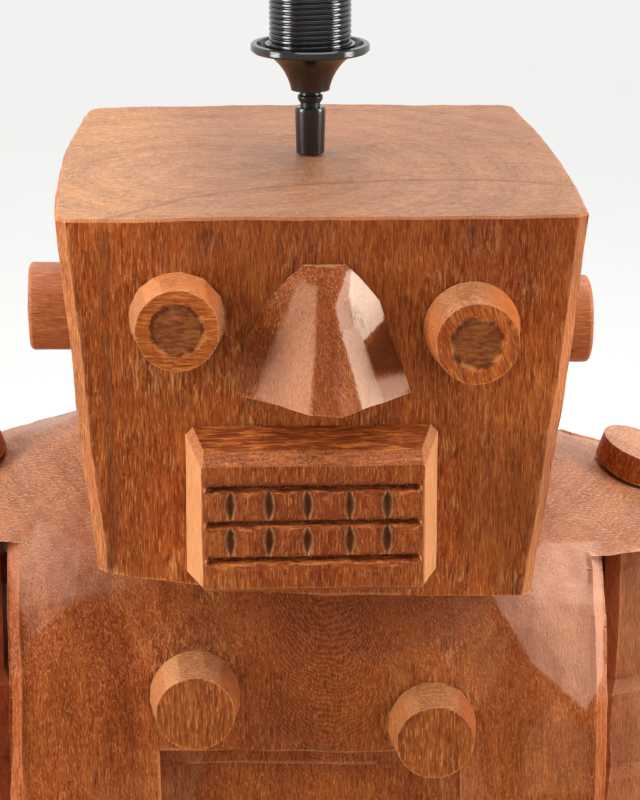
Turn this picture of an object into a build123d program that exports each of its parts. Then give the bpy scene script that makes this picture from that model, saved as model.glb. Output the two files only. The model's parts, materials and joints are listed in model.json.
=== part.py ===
from build123d import *
import os
from math import cos, radians, sin, sqrt

os.makedirs("parts", exist_ok=True)

# A block robot carved in wood, standing on a plinth, with a screw lamp holder on its head.
# Millimetres. The floor is z = 0, the robot faces -Y and the lamp tube stands on the Z axis.
# Left and right are as seen from the front. The carving is freehand, so the two sides differ.

# ---------------------------------------------------------------- driving dimensions
# plinth, feet and legs
felt_thickness = 2.0
plinth_width, plinth_depth, plinth_height = 290.0, 236.0, 30.0
plinth_corner = 14.0
plinth_bevel = 4.0
felt_margin = 3.0
plinth_middle = -8.0             # the plinth's middle line, from the lamp tube's axis
foot_width, foot_depth, foot_height = 112.0, 196.0, 38.0
foot_heel = 86.0                 # heel, behind the lamp tube's axis
foot_corner = 12.0
toe_height = 24.0
leg_spacing = 122.0
leg_width, leg_depth, leg_length = 96.0, 132.0, 120.0
leg_corner = 10.0
leg_ankle_inset = 6.0            # each side of a leg narrows by this towards the foot
knee_groove = 5.0
knee_rises = (45.6, 69.6)        # top of each knee groove, above the foot

# torso
chest_height = 110.0             # upright part of the chest, below the shoulders' arch
torso_half_depth = 115.0
torso_middle = -5.0
torso_left, torso_right = 148.0, 138.0                # sides of the torso, between the arms
torso_bevel = 6.0
shoulder_half_width = 194.0
shoulder_back = 26.0             # the shoulders' wings end here, behind the arms
neck_half_width = 60.0
crest_rise_left, crest_rise_right = 149.0, 137.0      # arch above the chest, at the neck
shoulder_drop = 44.0             # fall of the crest from the neck to the shoulder's end
slot_rise_left, slot_rise_right = 92.0, 81.5          # underside of the wings, above the chest

# chest panel, a board let into a stepped recess
panel_left, panel_right = 76.0, 67.0
panel_top_left, panel_top_right = -0.5, -4.0          # from the top of the upright chest
panel_bottom = -86.0
panel_frame = 9.0
panel_step_depth, panel_board_depth, panel_thickness = 5.0, 10.0, 8.0

# chest knobs: place across, height from the top of the upright chest
left_knob_x, left_knob_rise = -58.6, 27.0
right_knob_x, right_knob_rise = 52.3, 10.3
knob_stand, knob_base_radius, knob_front_radius = 18.0, 21.4, 18.0

# shoulder studs
left_stud_inset, right_stud_inset = 24.5, 33.5        # from the shoulders' ends
stud_y = -19.0
stud_radius, stud_thickness, stud_spigot = 20.0, 12.0, 9.0
stud_seat = 5.0                  # the shoulder's bow under a stud is less than this

# arms: a plain upper arm, raked ribs like bellows, a wrist and a fist
arm_y = -20.0
arm_gap = 0.2
arm_rake = 12.0                  # the ribs rise outwards by this
arm_corner = 0.32                # bevelled corners, as a share of the half width
arm_half_width = (shoulder_half_width - torso_left) / 2
upper_arm_waist, upper_arm_half_depth, upper_arm_length = 3.0, 34.0, 75.5
rib_swell, rib_half_depth, rib_pitch, rib_count = 1.5, 42.0, 47.5, 3
wrist_waist, wrist_half_depth, wrist_length = 8.0, 18.6, 8.0
hand_waist, hand_half_depth, hand_length = 1.0, 31.0, 36.0
upper_arm_half_width = arm_half_width - upper_arm_waist
rib_half_width = arm_half_width + rib_swell
wrist_half_width = arm_half_width - wrist_waist
hand_half_width = arm_half_width - hand_waist

# head
head_seat_rise = 80.0            # lowest point of the chin, above the upright chest
head_height = 180.0
head_front, head_back = 132.0, 118.0
head_bow_y = -40.0               # the sides are widest here
head_back_bow = 6.5
head_left_front, head_right_front = 115.5, 117.5
head_half_width, head_half_back = 119.5, 112.0
head_left_taper, head_right_taper = 15.5, 21.5        # from crown to chin
head_side_bow = 1.3              # the sides bulge by this half way up
head_corner_bevel, head_crown_bevel = 4.2, 1.2
head_back_round = 9.0
chin_rise_left, chin_rise_cheek, chin_rise_middle = 14.5, 7.5, 1.5
chin_cheek_x = 56.0              # where the chin's slope changes, left of the middle

# eyes and ears, heights from the chin's lowest point
left_eye_x, left_eye_rise, left_eye_stand = -63.6, 134.3, 20.0
right_eye_x, right_eye_rise, right_eye_stand = 66.2, 128.3, 25.0
eye_base_radius, eye_front_radius = 21.5, 18.2
pupil_radius, pupil_depth, pupil_ring = 11.2, 1.6, 1.6
pupil_disc = 1.1                 # thickness of the disc left standing in the pupil
left_ear_rise, right_ear_rise = 105.7, 96.0
ear_radius, ear_reach, ear_y, ear_round = 21.6, 137.5, -5.0, 2.5

# nose, a wedge of flat cuts that flares towards its foot
nose_rise, nose_length = 99.0, 59.5
nose_half_width, nose_stand = 38.7, 36.0
nose_peg_share = 0.35            # height of its peg, as a share of the nose's length

# mouth, a bevelled block with teeth cut into its face
mouth_left, mouth_right = 61.5, 52.0
mouth_foot_rise, mouth_top_rise = 12.0, 84.5
mouth_stand = 20.0
mouth_side_bevel, mouth_top_bevel, mouth_lip = 7.3, 7.0, 5.5
mouth_corner_bevel, mouth_foot_bevel = 3.2, 2.0
tooth_row_rises = (27.5, 44.5, 61.0)
tooth_columns = (-41.8, -24.5, -7.5, 11.4, 28.3)
tooth_groove, tooth_groove_depth = 3.2, 2.6
tooth_gap, tooth_gap_depth = 4.6, 3.4
groove_slope = 20                # degrees, of a groove's walls

# glued pegs and dowels
spigot_radius, spigot_length = 10.0, 16.0
glue_gap = 0.1
dowel_radius, dowel_length = 8.0, 56.0
dowel_end_gap = 1.0
neck_dowel_x = 52.0

# lamp tube and its fastening in the head
tube_radius, tube_bore = 4.8, 3.4
tube_gap = 0.15
nut_pocket_radius, nut_pocket_depth = 17.0, 24.0
washer_radius, washer_thickness = 14.0, 1.6
nut_across_flats, nut_thickness = 17.0, 6.0
tube_below_nut = 3.0
passage_radius = 7.0

# stem between the head and the lamp holder
sleeve_foot_radius, sleeve_top_radius, sleeve_height = 6.85, 7.4, 22.5
sleeve_shoulder = 2.0
bead_radius, bead_height, bead_gap, bead_round = 6.2, 4.2, 2.3, 1.2

# lamp holder, E27, with a 40 mm threaded mantle and a shade ring
cap_foot_radius, cap_top_radius, cap_height = 9.3, 21.0, 18.2
cap_rim = 0.8                    # upright rim at the top of the cap
cap_bow, cap_bore_bow = 2.6, 1.6 # the trumpet's hollow, from a straight cone, out and inside
cap_bore_radius, cap_bore_depth = 17.7, 2.0           # seat of the mantle's spigot
cap_gap = 1.6                    # between the bead and the cap
cap_boss_height = 7.5
lock_screw_radius, lock_screw_sunk = 1.5, 0.8         # its end lies below the boss's face
mantle_radius, mantle_height, mantle_wall = 19.7, 52.0, 2.1
mantle_spigot, mantle_ledge, mantle_lip = 1.6, 2.0, 3.0
mantle_spigot_gap = 0.4          # round the spigot, in the cap
mantle_neck_radius = 19.3        # plain neck below the thread, where the ring rests
ring_radius, ring_height, ring_web, ring_rim = 28.6, 4.0, 1.6, 2.9
ring_gap = 0.3                   # running gap on the mantle, and above the cap
ring_collar = 1.6
ring_foot_bevel, ring_edge_bevel, ring_rim_slope = 1.0, 0.6, 0.8
core_radius_gap = 0.3
core_height = 10.0
screw_shell_radius, screw_shell_wall, screw_shell_height = 13.3, 0.7, 23.0
shell_foot_height, shell_foot_step = 6.0, 0.9         # narrower foot below the thread
contact_radius, contact_thickness, contact_stem_radius = 5.0, 1.2, 1.6
contact_height = 5.0
contact_stem_gap = 0.1           # the stem slides in the core
spring_radius, spring_wire, spring_turns = 3.2, 0.5, 3
spring_gap = 0.05                # at each end of the spring
terminal_x, terminal_screw_radius, terminal_head_radius = 8.0, 1.6, 2.9
terminal_head_height, terminal_screw_length = 2.0, 7.0

# cord inlet at the back of the torso
bush_rise = 24.0                 # above the torso's underside
bush_radius, bush_flange_radius, bush_flange = 6.0, 9.0, 2.5
bush_bore, bush_length, bush_round = 3.6, 18.0, 1.0

# plinth screws
screw_radius, screw_head_radius, screw_length = 2.5, 5.0, 60.0
screw_head_height = 3.0

# ---------------------------------------------------------------- levels
plinth_top = felt_thickness + plinth_height
foot_top = plinth_top + foot_height
torso_bottom = foot_top + leg_length
chest_top = torso_bottom + chest_height
chin = chest_top + head_seat_rise
head_top = chin + head_height
torso_front = torso_middle - torso_half_depth
torso_back = torso_middle + torso_half_depth
slot_roof_left = chest_top + slot_rise_left
slot_roof_right = chest_top + slot_rise_right
bead_foot = head_top + sleeve_height + bead_gap
cap_foot = bead_foot + bead_height + cap_gap
cap_top = cap_foot + cap_height
ring_foot = cap_top + ring_gap
thread_foot = ring_foot + ring_height + ring_gap
mantle_top = cap_top + mantle_height
core_foot = cap_top + mantle_ledge
core_top = core_foot + core_height
contact_top = core_top + contact_height


def crest_rise(x):
    """Height of the shoulders' crest above the upright chest, at a place across the torso."""
    neck_rise = crest_rise_left if x < 0 else crest_rise_right
    out = abs(x) - neck_half_width
    return neck_rise - shoulder_drop * out / (shoulder_half_width - neck_half_width)


def surface_plane(x, y):
    """Plane that lies on the shoulder at (x, y), with its normal pointing out of the wood."""
    rise = crest_rise(x)
    along = (y - torso_middle) / torso_half_depth
    height = chest_top + rise * sqrt(1 - along**2)
    slope_y = -rise / torso_half_depth * along / sqrt(1 - along**2)
    fall = shoulder_drop / (shoulder_half_width - neck_half_width)
    slope_x = -fall * sqrt(1 - along**2) * (1 if x > 0 else -1)
    return Plane(origin=(x, y, height), x_dir=(1, 0, slope_x), z_dir=(-slope_x, -slope_y, 1))


def front_plane(x, y, z):
    """Plane whose normal points to the front; its own x runs to the right and its y up."""
    return Plane(origin=(x, y, z), x_dir=(1, 0, 0), z_dir=(0, -1, 0))


# ---------------------------------------------------------------- head
def head_outline(left_inset, right_inset):
    """Plan of the head: a straight face, bowed sides that close a little towards the back."""
    front_left = (left_inset - head_left_front, -head_front)
    front_right = (head_right_front - right_inset, -head_front)
    back_left = (left_inset - head_half_back, head_back)
    back_right = (head_half_back - right_inset, head_back)
    Line(front_left, front_right)
    ThreePointArc(front_right, (head_half_width - right_inset, head_bow_y), back_right)
    ThreePointArc(back_right, (0, head_back + head_back_bow), back_left)
    ThreePointArc(back_left, (left_inset - head_half_width, head_bow_y), front_left)


left_cheek = head_left_front - head_left_taper
right_cheek = head_right_front - head_right_taper
with BuildPart() as head_form:
    for share, bow in ((0, 0), (0.5, head_side_bow), (1, 0)):
        with BuildSketch(Plane.XY.offset(chin + share * head_height)):
            with BuildLine():
                head_outline(
                    (1 - share) * head_left_taper - bow, (1 - share) * head_right_taper - bow
                )
            make_face()
    loft(ruled=True)
    upright = head_form.edges().filter_by(lambda e: e.bounding_box().size.Z > head_height / 3)
    chamfer(upright.group_by(Axis.Y)[0], head_corner_bevel)
    fillet(upright.group_by(Axis.Y)[-1], head_back_round)
    chamfer(head_form.faces().sort_by(Axis.Z)[-1].edges(), head_crown_bevel)
    with BuildSketch(Plane.XZ) as chin_cut:
        with BuildLine():
            Polyline(
                (-2 * left_cheek, chin - 1),
                (-2 * left_cheek, chin + 2 * chin_rise_left),
                (-left_cheek, chin + chin_rise_left),
                (-chin_cheek_x, chin + chin_rise_cheek),
                (0, chin + chin_rise_middle),
                (right_cheek, chin),
                (2 * right_cheek, chin - 1),
                close=True,
            )
        make_face()
    extrude(amount=2 * head_front, both=True, mode=Mode.SUBTRACT)

eyes = {
    "left_eye": (left_eye_x, chin + left_eye_rise, left_eye_stand),
    "right_eye": (right_eye_x, chin + right_eye_rise, right_eye_stand),
}
ears = {
    "left_ear": (-1, chin + left_ear_rise),
    "right_ear": (1, chin + right_ear_rise),
}
mouth_middle = (mouth_right - mouth_left) / 2
mouth_peg_z = chin + (mouth_foot_rise + mouth_top_rise) / 2
nose_peg_z = chin + nose_rise + nose_peg_share * nose_length
face_pegs = [(x, z) for x, z, stand in eyes.values()]
face_pegs += [(0, nose_peg_z), (mouth_middle, mouth_peg_z)]
ear_seat = head_half_width - head_right_taper - spigot_length
dowel_seat = chin + chin_rise_middle
neck_dowel_z = dowel_seat + chin_rise_cheek / 2

with BuildPart() as head_block:
    add(head_form.part)
    with Locations(*[front_plane(x, -head_front, z).location for x, z in face_pegs]):
        Hole(spigot_radius + glue_gap, depth=spigot_length + dowel_end_gap)
    for side, ear_z in ears.values():
        with BuildSketch(Plane(origin=(side * ear_seat, ear_y, ear_z), z_dir=(side, 0, 0))):
            Circle(spigot_radius + glue_gap)
        extrude(amount=head_half_width, mode=Mode.SUBTRACT)
    with BuildSketch(Plane.XY.offset(chin)):
        Circle(tube_radius + tube_gap)
    extrude(amount=head_height, mode=Mode.SUBTRACT)
    with BuildSketch(Plane.XY.offset(chin)):
        Circle(nut_pocket_radius)
    extrude(amount=nut_pocket_depth, mode=Mode.SUBTRACT)
    with BuildSketch(Plane.XY.offset(chin)):
        with Locations((-neck_dowel_x, torso_middle), (neck_dowel_x, torso_middle)):
            Circle(dowel_radius + glue_gap)
    extrude(
        amount=neck_dowel_z - chin + dowel_length / 2 + dowel_end_gap, mode=Mode.SUBTRACT
    )
head_block.part.label = "head_block"
export_step(head_block.part, "parts/head_block.step")

# ---------------------------------------------------------------- eyes and ears
for name, (eye_x, eye_z, stand) in eyes.items():
    with BuildPart() as eye:
        with BuildSketch(front_plane(eye_x, -head_front, eye_z)):
            Circle(eye_base_radius)
        with BuildSketch(front_plane(eye_x, -head_front - stand, eye_z)):
            Circle(eye_front_radius)
        loft()
        with BuildSketch(front_plane(eye_x, -head_front - stand, eye_z)):
            Circle(pupil_radius)
        extrude(amount=-pupil_depth, taper=groove_slope, mode=Mode.SUBTRACT)
        with BuildSketch(front_plane(eye_x, -head_front - stand + pupil_depth, eye_z)):
            Circle(pupil_radius - pupil_ring)
        extrude(amount=pupil_disc, taper=groove_slope)
        with BuildSketch(front_plane(eye_x, -head_front, eye_z)):
            Circle(spigot_radius)
        extrude(amount=-spigot_length)
    eye.part.label = name
    export_step(eye.part, f"parts/{name}.step")

for name, (side, ear_z) in ears.items():
    with BuildPart() as ear:
        with BuildSketch(Plane(origin=(side * ear_reach, ear_y, ear_z), z_dir=(-side, 0, 0))):
            Circle(ear_radius)
        extrude(amount=ear_reach - ear_seat - spigot_length / 2)
        fillet(ear.edges().group_by(Axis.X)[-1 if side > 0 else 0], ear_round)
        add(head_form.part, mode=Mode.SUBTRACT)
        spigot_end = ear_seat + dowel_end_gap
        with BuildSketch(Plane(origin=(side * spigot_end, ear_y, ear_z), z_dir=(side, 0, 0))):
            Circle(spigot_radius)
        extrude(amount=ear_reach - spigot_end - ear_round)
    ear.part.label = name
    export_step(ear.part, f"parts/{name}.step")

# ---------------------------------------------------------------- nose
# Each level is a half ring of seven corners: the share of the nose's length above its foot, then
# each corner's share of the half width and of the stand from the face.
nose_levels = (
    (0.00, ((-1.00, 0), (-0.49, 0.50), (-0.18, 0.88), (0.17, 1.00), (0.48, 0.62), (0.66, 0.43), (1.02, 0))),
    (0.20, ((-0.98, 0), (-0.47, 0.42), (-0.15, 0.75), (0.10, 0.83), (0.39, 0.64), (0.56, 0.44), (0.93, 0))),
    (0.45, ((-0.85, 0), (-0.42, 0.32), (-0.08, 0.58), (0.08, 0.62), (0.25, 0.57), (0.45, 0.44), (0.78, 0))),
    (0.72, ((-0.63, 0), (-0.31, 0.22), (-0.06, 0.36), (0.05, 0.38), (0.14, 0.38), (0.33, 0.30), (0.66, 0))),
    (0.90, ((-0.38, 0), (-0.27, 0.12), (-0.06, 0.19), (0.06, 0.20), (0.20, 0.19), (0.30, 0.13), (0.42, 0))),
    (1.00, ((-0.22, 0), (-0.17, 0.05), (-0.06, 0.09), (0.04, 0.11), (0.13, 0.10), (0.19, 0.06), (0.27, 0))),
)
with BuildPart() as nose:
    for share, corners in nose_levels:
        with BuildSketch(Plane.XY.offset(chin + nose_rise + share * nose_length)):
            with BuildLine():
                Polyline(
                    *[(x * nose_half_width, -head_front - y * nose_stand) for x, y in corners],
                    close=True,
                )
            make_face()
    loft(ruled=True)
    with BuildSketch(front_plane(0, -head_front, nose_peg_z)):
        Circle(spigot_radius)
    extrude(amount=-spigot_length)
nose.part.label = "nose"
export_step(nose.part, "parts/nose.step")

# ---------------------------------------------------------------- mouth
mouth_foot = chin + mouth_foot_rise
mouth_top = chin + mouth_top_rise
mouth_face = -head_front - mouth_stand
with BuildPart() as mouth:
    # side view of the block: sloping top, small lip, upright face, undercut foot
    with BuildSketch(Plane.YZ.offset(-mouth_left)):
        with BuildLine():
            Polyline(
                (-head_front, mouth_foot),
                (-head_front, mouth_top),
                (mouth_face + mouth_lip, mouth_top - mouth_top_bevel),
                (mouth_face, mouth_top - mouth_top_bevel - mouth_lip),
                (mouth_face, mouth_foot + mouth_foot_bevel),
                (mouth_face + mouth_foot_bevel, mouth_foot),
                close=True,
            )
        make_face()
    extrude(amount=mouth_left + mouth_right)
    # bevelled sides, seen from above, and cut corners at their ends
    with BuildSketch(Plane.XY.offset(mouth_foot - 1)):
        for edge_x, inward in ((-mouth_left, 1), (mouth_right, -1)):
            with BuildLine():
                Polyline(
                    (edge_x, -head_front),
                    (edge_x + inward * mouth_side_bevel, mouth_face - 1),
                    (edge_x - inward, mouth_face - 1),
                    close=True,
                )
            make_face()
    extrude(amount=mouth_top - mouth_foot + 2, mode=Mode.SUBTRACT)
    side_edges = mouth.edges().filter_by(lambda e: e.bounding_box().size.Y > mouth_stand / 2)
    chamfer(side_edges, mouth_corner_bevel)
    # long grooves above, between and below the rows of teeth
    face_left, face_right = mouth_side_bevel - mouth_left, mouth_right - mouth_side_bevel
    for rise in tooth_row_rises:
        with BuildSketch(front_plane((face_left + face_right) / 2, mouth_face, chin + rise)):
            Rectangle(face_right - face_left - 2, tooth_groove)
        extrude(amount=-tooth_groove_depth, taper=groove_slope, mode=Mode.SUBTRACT)
    # each gap between two teeth is one rocking cut of a V tool, deepest in the middle
    for column in tooth_columns:
        for low, high in zip(tooth_row_rises, tooth_row_rises[1:]):
            swing = ((high - low) ** 2 / 4 + tooth_gap_depth**2) / (2 * tooth_gap_depth)
            pivot = (column, mouth_face + tooth_gap_depth - swing, chin + (low + high) / 2)
            with BuildSketch(Plane(origin=pivot, x_dir=(1, 0, 0), z_dir=(0, 0, 1))):
                with BuildLine():
                    Polyline(
                        (0, swing),
                        (tooth_gap, swing - 2 * tooth_gap_depth),
                        (-tooth_gap, swing - 2 * tooth_gap_depth),
                        close=True,
                    )
                make_face()
            revolve(axis=Axis(pivot, (1, 0, 0)), mode=Mode.SUBTRACT)
    with BuildSketch(front_plane(mouth_middle, -head_front, mouth_peg_z)):
        Circle(spigot_radius)
    extrude(amount=-spigot_length)
mouth.part.label = "mouth"
export_step(mouth.part, "parts/mouth.step")

# ---------------------------------------------------------------- torso
with BuildPart() as torso_form:
    for x in (-shoulder_half_width, -neck_half_width, neck_half_width, shoulder_half_width):
        with BuildSketch(Plane.YZ.offset(x)):
            with BuildLine():
                EllipticalCenterArc(
                    (torso_middle, chest_top), torso_half_depth, crest_rise(x), arc_size=180
                )
                Polyline(
                    (torso_front, chest_top),
                    (torso_front, torso_bottom),
                    (torso_back, torso_bottom),
                    (torso_back, chest_top),
                )
            make_face()
    loft(ruled=True)
    # room for the arms under the wings, and the torso's own width behind them
    for side, torso_edge, roof in (
        (-1, torso_left, slot_roof_left),
        (1, torso_right, slot_roof_right),
    ):
        wing = shoulder_half_width + 1 - torso_edge
        wing_x = side * (torso_edge + wing / 2)
        with BuildSketch(Plane.XY.offset(torso_bottom)):
            with Locations((wing_x, torso_middle)):
                Rectangle(wing, 2 * torso_half_depth + 2)
        extrude(amount=roof - torso_bottom, mode=Mode.SUBTRACT)
        with BuildSketch(Plane.XY.offset(torso_bottom)):
            with Locations((wing_x, (shoulder_back + torso_back + 1) / 2)):
                Rectangle(wing, torso_back + 1 - shoulder_back)
        extrude(amount=head_top - torso_bottom, mode=Mode.SUBTRACT)
    corners = torso_form.edges().filter_by(Axis.Z).group_by(Axis.Y)
    chamfer(corners[0] + corners[-1], torso_bevel)

knobs = {
    "left_knob": (left_knob_x, chest_top + left_knob_rise),
    "right_knob": (right_knob_x, chest_top + right_knob_rise),
}
studs = {
    "left_shoulder_stud": left_stud_inset - shoulder_half_width,
    "right_shoulder_stud": shoulder_half_width - right_stud_inset,
}
arms = {
    "left_arm": (-1, torso_left, slot_roof_left),
    "right_arm": (1, torso_right, slot_roof_right),
}
arm_dowel_drop = upper_arm_length / 2


def panel_outline(inset):
    """The panel's outline, a little out of square, drawn inwards by the inset."""
    return [
        (inset - panel_left, chest_top + panel_top_left - inset),
        (panel_right - inset, chest_top + panel_top_right - inset),
        (panel_right - inset, chest_top + panel_bottom + inset),
        (inset - panel_left, chest_top + panel_bottom + inset),
    ]


panel_back = panel_board_depth + panel_thickness
knob_depth = spigot_length + dowel_end_gap
with BuildPart() as torso_block:
    add(torso_form.part)
    add(head_form.part, mode=Mode.SUBTRACT)
    for inset, depth in ((0, panel_step_depth), (panel_frame, panel_back)):
        with BuildSketch(front_plane(0, torso_front, 0)):
            Polygon(*panel_outline(inset), align=None)
        extrude(amount=-depth, mode=Mode.SUBTRACT)
    for knob_x, knob_z in knobs.values():
        with BuildSketch(front_plane(knob_x, torso_front - 1, knob_z)):
            Circle(spigot_radius + glue_gap)
        extrude(amount=-knob_depth - 1, mode=Mode.SUBTRACT)
    for stud_x in studs.values():
        with BuildSketch(surface_plane(stud_x, stud_y)):
            Circle(dowel_radius + glue_gap)
        extrude(amount=stud_spigot + dowel_end_gap, both=True, mode=Mode.SUBTRACT)
    for side, torso_edge, roof in arms.values():
        with BuildSketch(Plane.YZ.offset(side * torso_edge)):
            with Locations((arm_y, roof - arm_dowel_drop)):
                Circle(dowel_radius + glue_gap)
        extrude(amount=dowel_length / 2 + dowel_end_gap, both=True, mode=Mode.SUBTRACT)
    # cord passage, dowel holes for the head and the legs, and the seat of the cord bush
    with BuildSketch(Plane.XY.offset(torso_bottom + bush_rise - passage_radius)):
        Circle(passage_radius)
    extrude(amount=chest_top, mode=Mode.SUBTRACT)
    with BuildSketch(Plane.XY.offset(neck_dowel_z - dowel_length / 2 - dowel_end_gap)):
        with Locations((-neck_dowel_x, torso_middle), (neck_dowel_x, torso_middle)):
            Circle(dowel_radius + glue_gap)
    extrude(amount=dowel_length, mode=Mode.SUBTRACT)
    with BuildSketch(Plane.XY.offset(torso_bottom)):
        with Locations((-leg_spacing / 2, torso_middle), (leg_spacing / 2, torso_middle)):
            Circle(dowel_radius + glue_gap)
    extrude(amount=dowel_length / 2 + dowel_end_gap, mode=Mode.SUBTRACT)
    with BuildSketch(front_plane(0, torso_back, torso_bottom + bush_rise)):
        Circle(bush_radius + glue_gap)
    extrude(amount=torso_back, mode=Mode.SUBTRACT)
torso_block.part.label = "torso_block"
export_step(torso_block.part, "parts/torso_block.step")

with BuildPart() as chest_panel:
    with BuildSketch(front_plane(0, torso_front + panel_board_depth, 0)):
        Polygon(*panel_outline(panel_frame), align=None)
    extrude(amount=-panel_thickness)
chest_panel.part.label = "chest_panel"
export_step(chest_panel.part, "parts/chest_panel.step")

for name, (knob_x, knob_z) in knobs.items():
    with BuildPart() as knob:
        with BuildSketch(front_plane(knob_x, torso_front, knob_z)):
            Circle(knob_base_radius)
        with BuildSketch(front_plane(knob_x, torso_front - knob_stand, knob_z)):
            Circle(knob_front_radius)
        loft()
        with BuildSketch(front_plane(knob_x, torso_front, knob_z)):
            Circle(knob_base_radius)
        extrude(amount=-knob_base_radius)
        add(torso_form.part, mode=Mode.SUBTRACT)
        with BuildSketch(front_plane(knob_x, torso_front, knob_z)):
            Circle(spigot_radius)
        extrude(amount=-spigot_length)
    knob.part.label = name
    export_step(knob.part, f"parts/{name}.step")

for name, stud_x in studs.items():
    with BuildPart() as stud:
        seat = surface_plane(stud_x, stud_y)
        with BuildSketch(seat):
            Circle(stud_radius)
        extrude(amount=stud_thickness)
        with BuildSketch(seat):
            Circle(stud_radius)
        extrude(amount=-stud_seat)
        add(torso_form.part, mode=Mode.SUBTRACT)
        with BuildSketch(seat.offset(stud_thickness / 2)):
            Circle(dowel_radius)
        extrude(amount=-stud_spigot - stud_thickness / 2)
    stud.part.label = name
    export_step(stud.part, f"parts/{name}.step")

# ---------------------------------------------------------------- arms
# Each level down the arm: its drop from the wing, half width and half depth.
arm_levels = [
    (-0.5 * upper_arm_half_width, upper_arm_half_width, upper_arm_half_depth),
    (upper_arm_length, upper_arm_half_width, upper_arm_half_depth),
]
for rib in range(rib_count):
    rib_drop = upper_arm_length + rib * rib_pitch
    arm_levels += [
        (rib_drop + 0.12 * rib_pitch, 0.96 * rib_half_width, 0.95 * rib_half_depth),
        (rib_drop + 0.55 * rib_pitch, rib_half_width, rib_half_depth),
        (rib_drop + 0.98 * rib_pitch, 0.88 * rib_half_width, 0.86 * rib_half_depth),
    ]
wrist_drop = upper_arm_length + rib_count * rib_pitch
hand_drop = wrist_drop + wrist_length
arm_levels += [
    (wrist_drop + 0.1 * wrist_length, wrist_half_width, wrist_half_depth),
    (hand_drop, wrist_half_width, wrist_half_depth),
    (hand_drop + 0.2 * hand_length, hand_half_width, hand_half_depth),
    (hand_drop + 0.8 * hand_length, hand_half_width, hand_half_depth),
    (hand_drop + hand_length, 0.7 * hand_half_width, 0.8 * hand_half_depth),
]

for name, (side, torso_edge, roof) in arms.items():
    arm_x = side * (torso_edge + arm_gap + rib_half_width)
    rake = radians(arm_rake)
    with BuildPart() as arm:
        for drop, half_width, half_depth in arm_levels:
            level = Plane(
                origin=(arm_x, arm_y, roof - drop),
                x_dir=(cos(rake), 0, side * sin(rake)),
                z_dir=(-side * sin(rake), 0, cos(rake)),
            )
            corner = arm_corner * half_width
            with BuildSketch(level):
                with BuildLine():
                    Polyline(
                        (half_width - corner, -half_depth),
                        (half_width, corner - half_depth),
                        (half_width, half_depth - corner),
                        (half_width - corner, half_depth),
                        (corner - half_width, half_depth),
                        (-half_width, half_depth - corner),
                        (-half_width, corner - half_depth),
                        (corner - half_width, -half_depth),
                        close=True,
                    )
                make_face()
        loft(ruled=True)
        # the top is sawn level, to stand against the underside of the wing
        split(bisect_by=Plane.XY.offset(roof), keep=Keep.BOTTOM)
        with BuildSketch(Plane.YZ.offset(side * torso_edge)):
            with Locations((arm_y, roof - arm_dowel_drop)):
                Circle(dowel_radius + glue_gap)
        extrude(amount=side * (dowel_length / 2 + dowel_end_gap), mode=Mode.SUBTRACT)
    arm.part.label = name
    export_step(arm.part, f"parts/{name}.step")

with BuildPart() as arm_dowels:
    for side, torso_edge, roof in arms.values():
        with BuildSketch(Plane.YZ.offset(side * torso_edge)):
            with Locations((arm_y, roof - arm_dowel_drop)):
                Circle(dowel_radius)
        extrude(amount=dowel_length / 2, both=True)
arm_dowels.part.label = "arm_dowels"
export_step(arm_dowels.part, "parts/arm_dowels.step")

with BuildPart() as neck_dowels:
    with BuildSketch(Plane.XY.offset(neck_dowel_z)):
        with Locations((-neck_dowel_x, torso_middle), (neck_dowel_x, torso_middle)):
            Circle(dowel_radius)
    extrude(amount=dowel_length / 2, both=True)
neck_dowels.part.label = "neck_dowels"
export_step(neck_dowels.part, "parts/neck_dowels.step")

# ---------------------------------------------------------------- legs, feet and plinth
legs = {"left": -leg_spacing / 2, "right": leg_spacing / 2}
screw_ys = (-0.3 * foot_depth, 0.22 * foot_depth)
screw_spots = [(x, y) for x in legs.values() for y in screw_ys]
screw_top = felt_thickness + screw_head_height + screw_length

for side, leg_x in legs.items():
    with BuildPart() as leg:
        for z, inset in ((foot_top, leg_ankle_inset), (torso_bottom, 0)):
            with BuildSketch(Plane.XY.offset(z)):
                with Locations((leg_x, torso_middle)):
                    RectangleRounded(leg_width - 2 * inset, leg_depth - 2 * inset, leg_corner)
        loft()
        for knee_rise in knee_rises:
            inset = leg_ankle_inset * (1 - knee_rise / leg_length) + knee_groove
            with BuildSketch(Plane.XY.offset(foot_top + knee_rise)):
                with Locations((leg_x, torso_middle)):
                    Rectangle(leg_width + knee_groove, leg_depth + knee_groove)
                    RectangleRounded(
                        leg_width - 2 * inset,
                        leg_depth - 2 * inset,
                        leg_corner - knee_groove / 2,
                        mode=Mode.SUBTRACT,
                    )
            extrude(amount=-knee_groove, mode=Mode.SUBTRACT)
        with BuildSketch(Plane.XY.offset(torso_bottom)):
            with Locations((leg_x, torso_middle)):
                Circle(dowel_radius + glue_gap)
        extrude(amount=-dowel_length / 2 - dowel_end_gap, mode=Mode.SUBTRACT)
    leg.part.label = f"{side}_leg"
    export_step(leg.part, f"parts/{side}_leg.step")

    with BuildPart() as foot:
        with BuildSketch(Plane.YZ.offset(leg_x - foot_width / 2)):
            with BuildLine():
                toe = foot_heel - foot_depth
                Polyline(
                    (foot_heel, plinth_top),
                    (foot_heel, foot_top),
                    (torso_middle - leg_depth / 2 + leg_ankle_inset, foot_top),
                    (toe, plinth_top + toe_height),
                    (toe, plinth_top),
                    close=True,
                )
            make_face()
        extrude(amount=foot_width)
        fillet(foot.edges().filter_by(Axis.Z), foot_corner)
        with BuildSketch(Plane.XY.offset(plinth_top)):
            with Locations(*[(leg_x, y) for y in screw_ys]):
                Circle(screw_radius)
        extrude(amount=screw_top - plinth_top + dowel_end_gap, mode=Mode.SUBTRACT)
    foot.part.label = f"{side}_foot"
    export_step(foot.part, f"parts/{side}_foot.step")

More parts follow.
